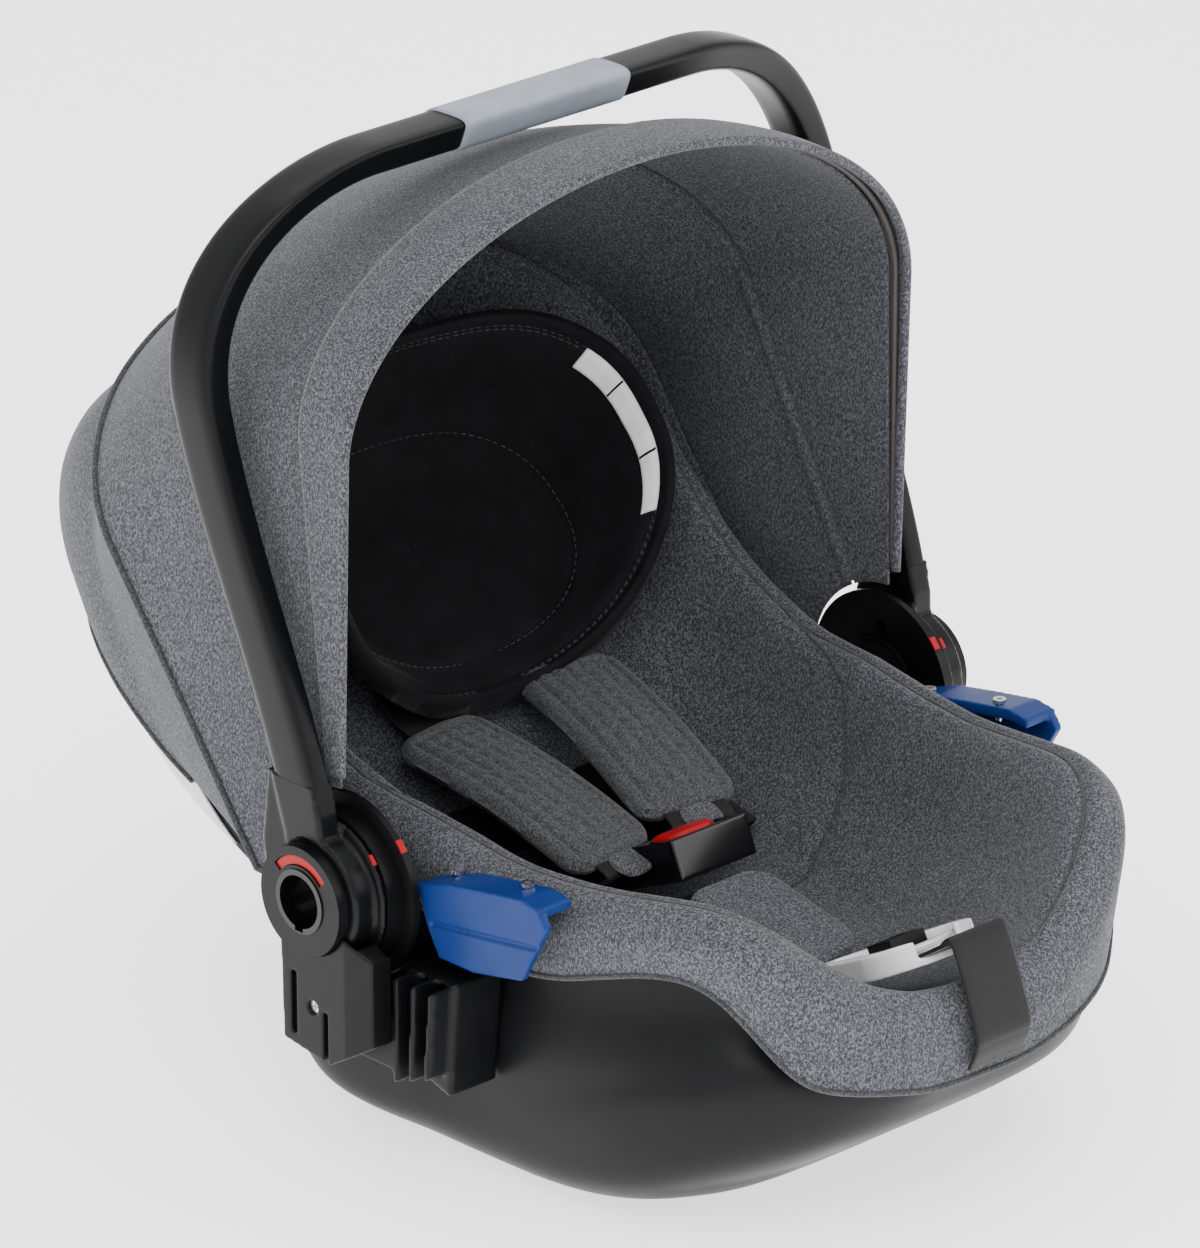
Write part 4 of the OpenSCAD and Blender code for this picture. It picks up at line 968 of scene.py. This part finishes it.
def cut(width, r, a0, a1):
    """Flat size and area of a canopy panel's cut, developed from its arch and its sweep, in metres."""
    ln = arch_line(width, r, FLANGE_R + 3)
    step = np.linalg.norm(np.diff(ln, axis=0), axis=1)
    lo = rear_edge_angle(ln[:, 0]).clip(-12) if a0 is None else np.full(len(ln), a0)
    sweep = ln[:, 0] * np.radians(a1 - lo)
    area = float((step * (sweep[1:] + sweep[:-1]) / 2).sum()) * MM * MM
    flat = (float(step.sum()) * MM, float(sweep.max()) * MM)
    return flat, min(max(area, 0.31 * flat[0] * flat[1]), flat[0] * flat[1])


for obj, args in ((rear, (X_PANEL, R_FIXED, None, MID_DEG)), (front, (X_MID, R_MID, MID_DEG, RIM_DEG - 2))):
    flat, area = cut(*args)

# -- Back cover, from the rear piping down to the white strips
shell_tree = BVHTree.FromPolygons([Vector(p) for p in outer.reshape(-1, 3)],
                                  grid_faces(*outer.shape[:2], wrap_cols=True).tolist())
BACK_COLS, BACK_ROWS = 220, 40
k_edge = resample(rear_grid[0] - rear_n[0] * 1.0, 3.0)
u = np.linspace(0, 1, BACK_COLS)
src = np.linspace(0, 1, len(k_edge))
top_edge = np.stack([np.interp(u, src, k_edge[:, k]) for k in range(3)], 1)
low_deg = np.interp(u, [0, 0.2, 0.5, 0.8, 1], [252, 226, 180, 134, 108])
low_row = 2.5 * SHELL_SUB
shell_patch = Patch(outer, wrap=True)
low_edge, low_n = shell_patch.at(np.full(BACK_COLS, low_row), low_deg * SHELL_N / 360.0)
t = np.linspace(0, 1, BACK_ROWS)[:, None, None]
back = top_edge[None] * (1 - t) + low_edge[None] * t
centre = np.array([0, 130, PIVOT_H + 70])
for i in range(BACK_ROWS):
    for j in range(BACK_COLS):
        d = back[i, j] - centre
        length = np.linalg.norm(d)
        far = centre + d / length * 700
        hit = shell_tree.ray_cast(Vector(far), Vector(-d / length), 700)
        if hit[0] is not None:
            need = np.linalg.norm(np.array(hit[0]) - centre) + 2.4
            share = 1 if i > 6 else i / 6
            if need > length:
                back[i, j] = centre + d / length * (length + (need - length) * share)
for _ in range(10):
    back[1:-1, 1:-1] = (back[1:-1, 1:-1] * 2 + back[:-2, 1:-1] + back[2:, 1:-1] + back[1:-1, :-2] + back[1:-1,
            2:]) / 6
back_n = grid_normals(back)
if (back_n * (back - centre)).sum(2).mean() < 0:
    back_n = -back_n
back = back + back_n * (0.8 * field(back, 70.0, 9.0) + 0.3 * field(back, 25.0, 4.0))[..., None]
add(sheet_between("back_cover", back + back_n * 0.4, back - back_n * 1.2), "heather", "seat",
    ["back_cover"])
side = np.linalg.norm(np.diff(back, axis=1), axis=2).sum(1)
back_hem = tube("back_hem", back[-1] + back_n[-1] * 0.5, 1.5, 8)
add(back_hem, "piping", "seat")


# -- Bows inside the canopy and the white strips below the back cover
bow = tube("mid_bow_channel", arch_points(arch_line(X_PANEL + PANEL_T - 0.5, R_FIXED + 1.6, FLANGE_R + 5),
                                          MID_DEG - 0.4), 3.4, 12)
add(bow, "heather_lining", "canopy_mid")
for name, deg0, deg1 in (("left", 252, 214), ("right", 108, 146)):
    deg = np.linspace(deg0, deg1, 90) * SHELL_N / 360.0
    span = np.linspace(0, 1, 14)[:, None]
    top_row = low_row - 3.0
    wide = np.interp(np.linspace(0, 1, 90), [0, 0.12, 1], [7.5, 7.5, 6.0])
    rows_at = top_row + span * wide[None]
    out = 1 if (low_n * (low_edge - centre)).sum(1).mean() > 0 else -1
    pts = np.array([shell_patch.at(r, deg, 1.5 * out)[0] for r in rows_at])
    low = np.array([shell_patch.at(r, deg, 0.2 * out)[0] for r in rows_at])
    add(sheet_between("white_strip_" + name, pts, low), "strip_white", "seat",
        ["side_strip_" + name])

# -- Handle
HANDLE_IN_R = HOOD_R + 5
SPAN = HANDLE_IN_R + 6.5


def lean(z):
    t = np.asarray(z, float) / SPAN
    return SPAN * (0.0422 * t + 0.961 * t * t - 0.8044 * t ** 3)


IN_Z = math.sqrt(HANDLE_IN_R ** 2 - float(lean(HANDLE_IN_R)) ** 2)
HANDLE_T, CORNER, SPLAY, HALF_D = 18.0, 115.0, 7.0, 15.0
TOP_Z = IN_Z + HANDLE_T


def handle_path(grow=0.0, steps=60):
    """Matching outer and inner points (x, z) of the handle's arch, foot to foot."""
    out_x = X_HANDLE_OUT + SPLAY
    cx, cz = out_x - CORNER, TOP_Z - CORNER
    z = np.linspace(30, cz, steps, endpoint=False)
    outer_leg = np.stack([X_HANDLE_OUT + SPLAY * z / cz, z], 1)
    inner_leg = np.stack([X_HANDLE + (out_x - HANDLE_T - X_HANDLE) * z / cz, z], 1)
    ang = np.radians(np.linspace(0, 90, steps))
    o_arc = np.stack([cx + (CORNER + grow) * np.cos(ang), cz + (CORNER + grow) * np.sin(ang)], 1)
    i_arc = np.stack([cx + (CORNER - HANDLE_T - grow) * np.cos(ang),
                      cz + (CORNER - HANDLE_T - grow) * np.sin(ang)], 1)
    flat = np.linspace(cx, 0, 24)[1:]
    o_top = np.stack([flat, 0 * flat + TOP_Z + grow], 1)
    i_top = np.stack([flat, 0 * flat + IN_Z - grow], 1)
    o = np.concatenate([outer_leg, o_arc, o_top])
    i = np.concatenate([inner_leg, i_arc, i_top])
    flip = np.array([-1, 1])
    return np.concatenate([o, o[-2::-1] * flip]), np.concatenate([i, i[-2::-1] * flip])


def handle_sweep(name, o, i, grow=0.0, power=4.6, n=48):
    ang = np.linspace(0, 2 * math.pi, n, endpoint=False)
    ca, sa = np.cos(ang), np.sin(ang)
    u = np.sign(ca) * np.abs(ca) ** (2 / power) * 0.5 + 0.5
    v = np.sign(sa) * np.abs(sa) ** (2 / power)
    rings = []
    for po, pi in zip(o, i):
        xz = pi[None] * (1 - u[:, None]) + po[None] * u[:, None]
        half = HALF_D * np.interp(xz[:, 1], [30, 60], [0.88, 1.0]) + grow
        crown = 0.9 * (1 - np.abs(v)) * (u > 0.5)
        rings.append(np.stack([xz[:, 0], lean(xz[:, 1]) + v * half, PIVOT_H + xz[:, 1] + crown * 0.3], 1))
    rings = np.array(rings)
    faces = grid_faces(len(rings), n, wrap_cols=True).tolist() + [list(range(n))[::-1],
            [(len(rings) - 1) * n + k for k in range(n)]]
    obj = make_object(name, rings.reshape(-1, 3), faces, grid_uv(rings))
    return weld(obj, 0.001)


po, pi = handle_path()
bar = handle_sweep("handle_bar", po, pi)
foot = softened("handle_feet", [NODES["handle"]], 1.3, 5)
bm = bmesh.new()
bm.from_mesh(foot.data)
geom = list(bm.verts) + list(bm.edges) + list(bm.faces)
bmesh.ops.bisect_plane(bm, geom=geom, plane_co=(0, 0, (PIVOT_H + 60) * MM), plane_no=(0, 0, 1),
                       clear_outer=True)
bmesh.ops.holes_fill(bm, edges=[e for e in bm.edges if e.is_boundary], sides=0)
bm.to_mesh(foot.data)
bm.free()
add(join("handle_shell", [bar, foot]), "handle_black", "handle", ["handle"])
go, gi = handle_path(1.3)
keep = np.abs(go[:, 0]) <= 60
grip = handle_sweep("grip_sleeve", go[keep], gi[keep], 1.3, 4.0)
add(grip, "grip_grey", "handle", ["handle_grip"])

# -- Head and body inserts
BACK_DEG = 42.0
CUPS = [[-66, 104, [118, 118, 117, 112, 106], 2.5, [13, 46, 92, 97, 86]],
        [-60, 97, [110, 110, 108, 103, 97], 2.5, [14, 42, 78, 81, 68]],
        [-52, 84, [96, 95, 92, 88, 85], 2.4, [13, 28, 42, 42, 34]],
        [-38, 62, [72, 72, 70, 66, 64], 2.4, [14, 16, 18, 18, 16]],
        [-26, 40, [36, 36, 36, 34, 32], 2.4, [12, 12, 12, 12, 12]]]


def head_frame(g):
    y = g[..., 1] * cosd(BACK_DEG) - g[..., 2] * sind(BACK_DEG)
    z = g[..., 1] * sind(BACK_DEG) + g[..., 2] * cosd(BACK_DEG)
    return np.stack([g[..., 0], y + 150, z + PIVOT_H + 57], -1)


HEAD_N = 240
cup = head_frame(smooth_rings(CUPS, 10, HEAD_N))
hull = head_frame(smooth_rings([grown(CUPS[k], 8.4, -8 if k > 2 else -6) for k in range(4, -1, -1)], 10,
                               HEAD_N))
edge = head_frame(smooth_rings([grown(CUPS[0], 5.0, 4.5), grown(CUPS[0], 1.2, 5.0)], 3, HEAD_N))
stack = np.concatenate([hull, edge, cup])
sn = grid_normals(stack, True)
stack = stack + sn * (0.7 * field(stack, 30.0, 11.0) + 0.35 * field(stack, 12.0, 3.0))[..., None]
head_patch = Patch(stack, wrap=True)
first = len(hull) + len(edge)


def head_line(row, a0, a1, lift=0.0, count=160):
    return head_patch.at(np.full(count, row), np.linspace(a0, a1, count) * HEAD_N / 360.0, lift)


for row in (first + 3, first + 24):
    stack = groove(stack, sn, head_line(row, 2, 358)[0], 1.6, 1.1)
head = closed_rings("head_cushion", stack)
add(head, "insert_black", "seat", ["head_insert"])
head_patch = Patch(stack, wrap=True)
thread = []
for row in (first + 2.2, first + 3.8, first + 23.4):
    line, n = head_line(row, 4, 356, 0.0, 500)
    thread.append(stitches("head_stitch", line, n if (n @ np.array([0, -0.6, 0.8])).mean() > 0 else n, 3.0,
                           1.6, 0.28, 0.3))
add(join("head_stitches", thread), "piping", "seat")


def cloth_label(name, key, rows_span, degs, lift, thick, body="seat"):
    a = np.linspace(degs[0], degs[1], 60) * HEAD_N / 360.0
    r = np.linspace(rows_span[0], rows_span[1], 12)
    sign = 1 if (head_patch.at([rows_span[0]] * 2,
                               [a[0], a[-1]])[1] @ np.array([-1, 0, 0.3])).mean() > 0 else -1
    top = np.array([head_patch.at(np.full(60, v), a, sign * (lift + thick))[0] for v in r])
    low = np.array([head_patch.at(np.full(60, v), a, sign * lift)[0] for v in r])
    return add(sheet_between(name, top, low), key, body)


cloth_label("insert_label", "strip_white", (first + 2, first + 9), (66, 118), 0.3, 0.7)
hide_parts("insert_patch")
for k, d in enumerate((83, 101)):
    cloth_label("label_line_%d" % k, "insert_black", (first + 2.2, first + 8.8), (d, d + 0.7), 1.0, 0.15)


def cushion(name, origin, across, along, normal, w, l, t, cell=None, border=8.0, round_=14.0, step=1.0,
            belly=1.0, curve=None):
    """A stitched pad: a soft rounded edge, and quilted cells inside its border when cell is given."""
    origin, across, along, normal = (np.asarray(v, float) for v in (origin, across, along, normal))
    nu, nv = int(l / step) + 1, int(w / step) + 1
    a = np.linspace(0, l, nu)[:, None]
    b = np.linspace(-w / 2, w / 2, nv)[None]
    ea, eb = np.minimum(a, l - a), w / 2 - np.abs(b)
    qa, qb = np.maximum(round_ - ea, 0), np.maximum(round_ - eb, 0)
    inside = np.clip(round_ - np.sqrt(qa ** 2 + qb ** 2), 0, None)
    inside = np.minimum(inside, np.minimum(ea, eb) + 0 * inside)
    rim = np.sqrt(np.clip(1 - (1 - np.clip(inside / (t * 0.55), 0, 1)) ** 2, 0, 1))
    h = rim * t / 2
    scale = np.where(np.sqrt(qa ** 2 + qb ** 2) > round_,
                     round_ / np.maximum(np.sqrt(qa ** 2 + qb ** 2), 1e-6), 1.0)
    aa = np.where(qa > 0, np.where(a < l / 2, round_ - qa * scale, l - round_ + qa * scale), a + 0 * b)
    bb = np.where(qb > 0, np.sign(b) * (w / 2 - round_ + qb * scale), b + 0 * a)
    top = h.copy()
    if cell:
        zone = smoothstep(border - 1.5, border + 1.0, np.minimum(ea, eb) + 0 * h)
        na, nb = round((l - 2 * border) / cell), round((w - 2 * border) / cell)
        wave = (np.abs(np.sin(np.pi * (aa - border) * na / (l - 2 * border))) ** 0.45
                * np.abs(np.sin(np.pi * (bb + w / 2 - border) * nb / (w - 2 * border))) ** 0.45)
        top += zone * (wave * 2.4 - 1.8)
        seam = np.exp(-((np.minimum(ea, eb) - border) / 1.1) ** 2)
        top -= 1.3 * seam
    top += belly * 0.5 * rim
    base = origin + aa[..., None] * along + bb[..., None] * across
    if curve is not None:
        base = base + curve(aa, bb)[..., None] * normal
    g = base + (top + 0.25 * field(base, 22.0, t))[..., None] * normal
    low = base - h[..., None] * normal
    return sheet_between(name, g, low)


def unit(v):
    v = np.asarray(v, float)
    return v / np.linalg.norm(v)


body_pad = cushion("body_cushion", (0, 12, PIVOT_H - 52), (1, 0, 0), unit((0, 58, 22)), unit((0, -22, 58)),
                   142, 62, 12, border=6,
                   curve=lambda a, b: 6 * (np.abs(b) / 70) ** 2 + 2 * (a / 60))
add(body_pad, "insert_black", "seat", ["body_insert"])

# -- Harness
WEB_W, WEB_T = 38.0, 1.6
PAD_TOP = [(-49, 92, PIVOT_H + 13), (44, 94, PIVOT_H + 22)]
PAD_END = [(-36, -32, PIVOT_H - 21), (20, -34, PIVOT_H - 14)]
for k, side in enumerate(("left", "right")):
    a0, b0 = np.array(PAD_TOP[k], float), np.array(PAD_END[k], float)
    way = unit(b0 - a0)
    cross = unit(np.cross(way, (0, 0, 1)))
    up = np.cross(cross, way)
    up = up if up[2] > 0 else -up
    pad = cushion("pad_" + side, a0, cross, way, up, 62, 132, 9, cell=8.6, border=8.5,
                  curve=lambda a, b: 5 * np.sin(np.pi * a / 132) - 3.0 * (np.abs(b) / 31) ** 2)
    add(pad, "pad_charcoal", "seat", ["shoulder_pad_" + side])
    tab = cushion("pad_tab_" + side, a0 + way * 129, cross, way, up, 22, 20, 3, round_=8, border=3)
    add(tab, "heather", "seat")
    path = smooth_curve([a0 - way * 26 + up * 14, a0 - way * 8 + up * 4, a0 + way * 60, a0 + way * 134,
                         b0 + way * 8 - up * 8])
    add(ribbon("strap_" + side, path, cross, WEB_W, WEB_T), "webbing", "seat",
        ["shoulder_strap_" + side])
hips = []
for s_ in (-1, 1):
    line = smooth_curve([(s_ * 92, 20, PIVOT_H - 46), (s_ * 80, 6, PIVOT_H - 38), (s_ * 55, -4, PIVOT_H - 35),
                         (s_ * 26, -10, PIVOT_H - 33)])
    hips.append(ribbon("hip", line, (0, 0.9, 0.3), WEB_W, WEB_T))
add(join("hip_webbing", hips), "webbing", "seat", ["hip_straps"])
line = smooth_curve([(0, -58, PIVOT_H - 44), (0, -90, PIVOT_H - 47), (0, -125, PIVOT_H - 56),
                     (0, -152, PIVOT_H - 66)])
add(ribbon("crotch_webbing", line, (1, 0, 0), WEB_W, WEB_T), "webbing", "seat", ["crotch_strap"])
pad = cushion("crotch_cushion", (0, -70, PIVOT_H - 37), (1, 0, 0), unit((0, -76, -17)), unit((0, -17, 76)),
              58, 80, 8, border=7, round_=16)
add(pad, "heather", "seat", ["crotch_pad"])

# -- Buckle, adjuster and guides, with moulded edges
for node, voxel, key in (("buckle_housing", 0.8, "gloss_black"), ("buckle_tongues", 0.8, "gloss_black"),
                         ("adjuster_housing", 0.7, "gloss_white"),
                         ("belt_guide_left", 0.9, "guide_blue"), ("belt_guide_right", 0.9, "guide_blue"),
                         ("adapter_plate_left", 0.8, "hub_black"), ("adapter_plate_right", 0.8, "hub_black"),
                         ("hub_bracket_left", 1.4, "shell_black"), ("hub_bracket_right", 1.4, "shell_black")):
    add(softened(node + "_moulded", [NODES[node]], voxel, 7), key, "seat", [node])


def domed(name, outline, base, rise, place):
    """A low dome over an outline of (x, y) points, placed by a function into the row frame."""
    o = np.asarray(outline, float)
    mid = o.mean(0)
    rings = []
    for share, z in [(1, base), (1, 0), (0.97, rise * 0.35), (0.9, rise * 0.65), (0.75, rise * 0.88),
                     (0.5, rise * 0.97), (0.25, rise), (0.02, rise)]:
        p = mid + (o - mid) * share
        rings.append(np.stack([p[:, 0], p[:, 1], np.full(len(p), float(z))], 1))
    rings = place(np.array(rings))
    faces = grid_faces(len(rings), len(o), wrap_cols=True).tolist() + [list(range(len(o)))[::-1],
            [(len(rings) - 1) * len(o) + k for k in range(len(o))]]
    return weld(make_object(name, rings.reshape(-1, 3), faces, grid_uv(rings)), 0.001)


def in_buckle(p):
    c, s_ = cosd(-24), sind(-24)
    return np.stack([p[..., 0], -38 + p[..., 1] * c - p[..., 2] * s_,
                     PIVOT_H - 29 + p[..., 1] * s_ + p[..., 2] * c], -1)


ang = np.radians(np.linspace(180, 360, 40))
half_moon = [(18 * math.cos(a), 19 * math.sin(a)) for a in ang] + [(16, 3), (0, 3.6), (-16, 3)]
button = domed("buckle_push", [(x, y - 7) for x, y in half_moon], -8, 3.0,
               lambda p: in_buckle(p + np.array([0, 0, 9.6])))
add(button, "signal_red", "buckle_release", ["buckle_button"])

ADJ = 29.0


def in_adjuster(y, z):
    return (0, FOOT + 42 + y * cosd(-ADJ) - z * sind(-ADJ), PIVOT_H - 33 + y * sind(-ADJ) + z * cosd(-ADJ))


lip_y = FOOT - 13
line = smooth_curve([in_adjuster(-22, 5), in_adjuster(-29, 5.6), in_adjuster(-38, 6.5), in_adjuster(-48, 5.5),
                     (0, lip_y - 1, PIVOT_H - 44), (0, lip_y - 2, PIVOT_H - 56),
                     (0, lip_y + 3, PIVOT_H - 68)])
add(ribbon("adjuster_webbing", line, (1, 0, 0), WEB_W, WEB_T + 0.4), "webbing", "seat",
    ["adjuster_strap"])
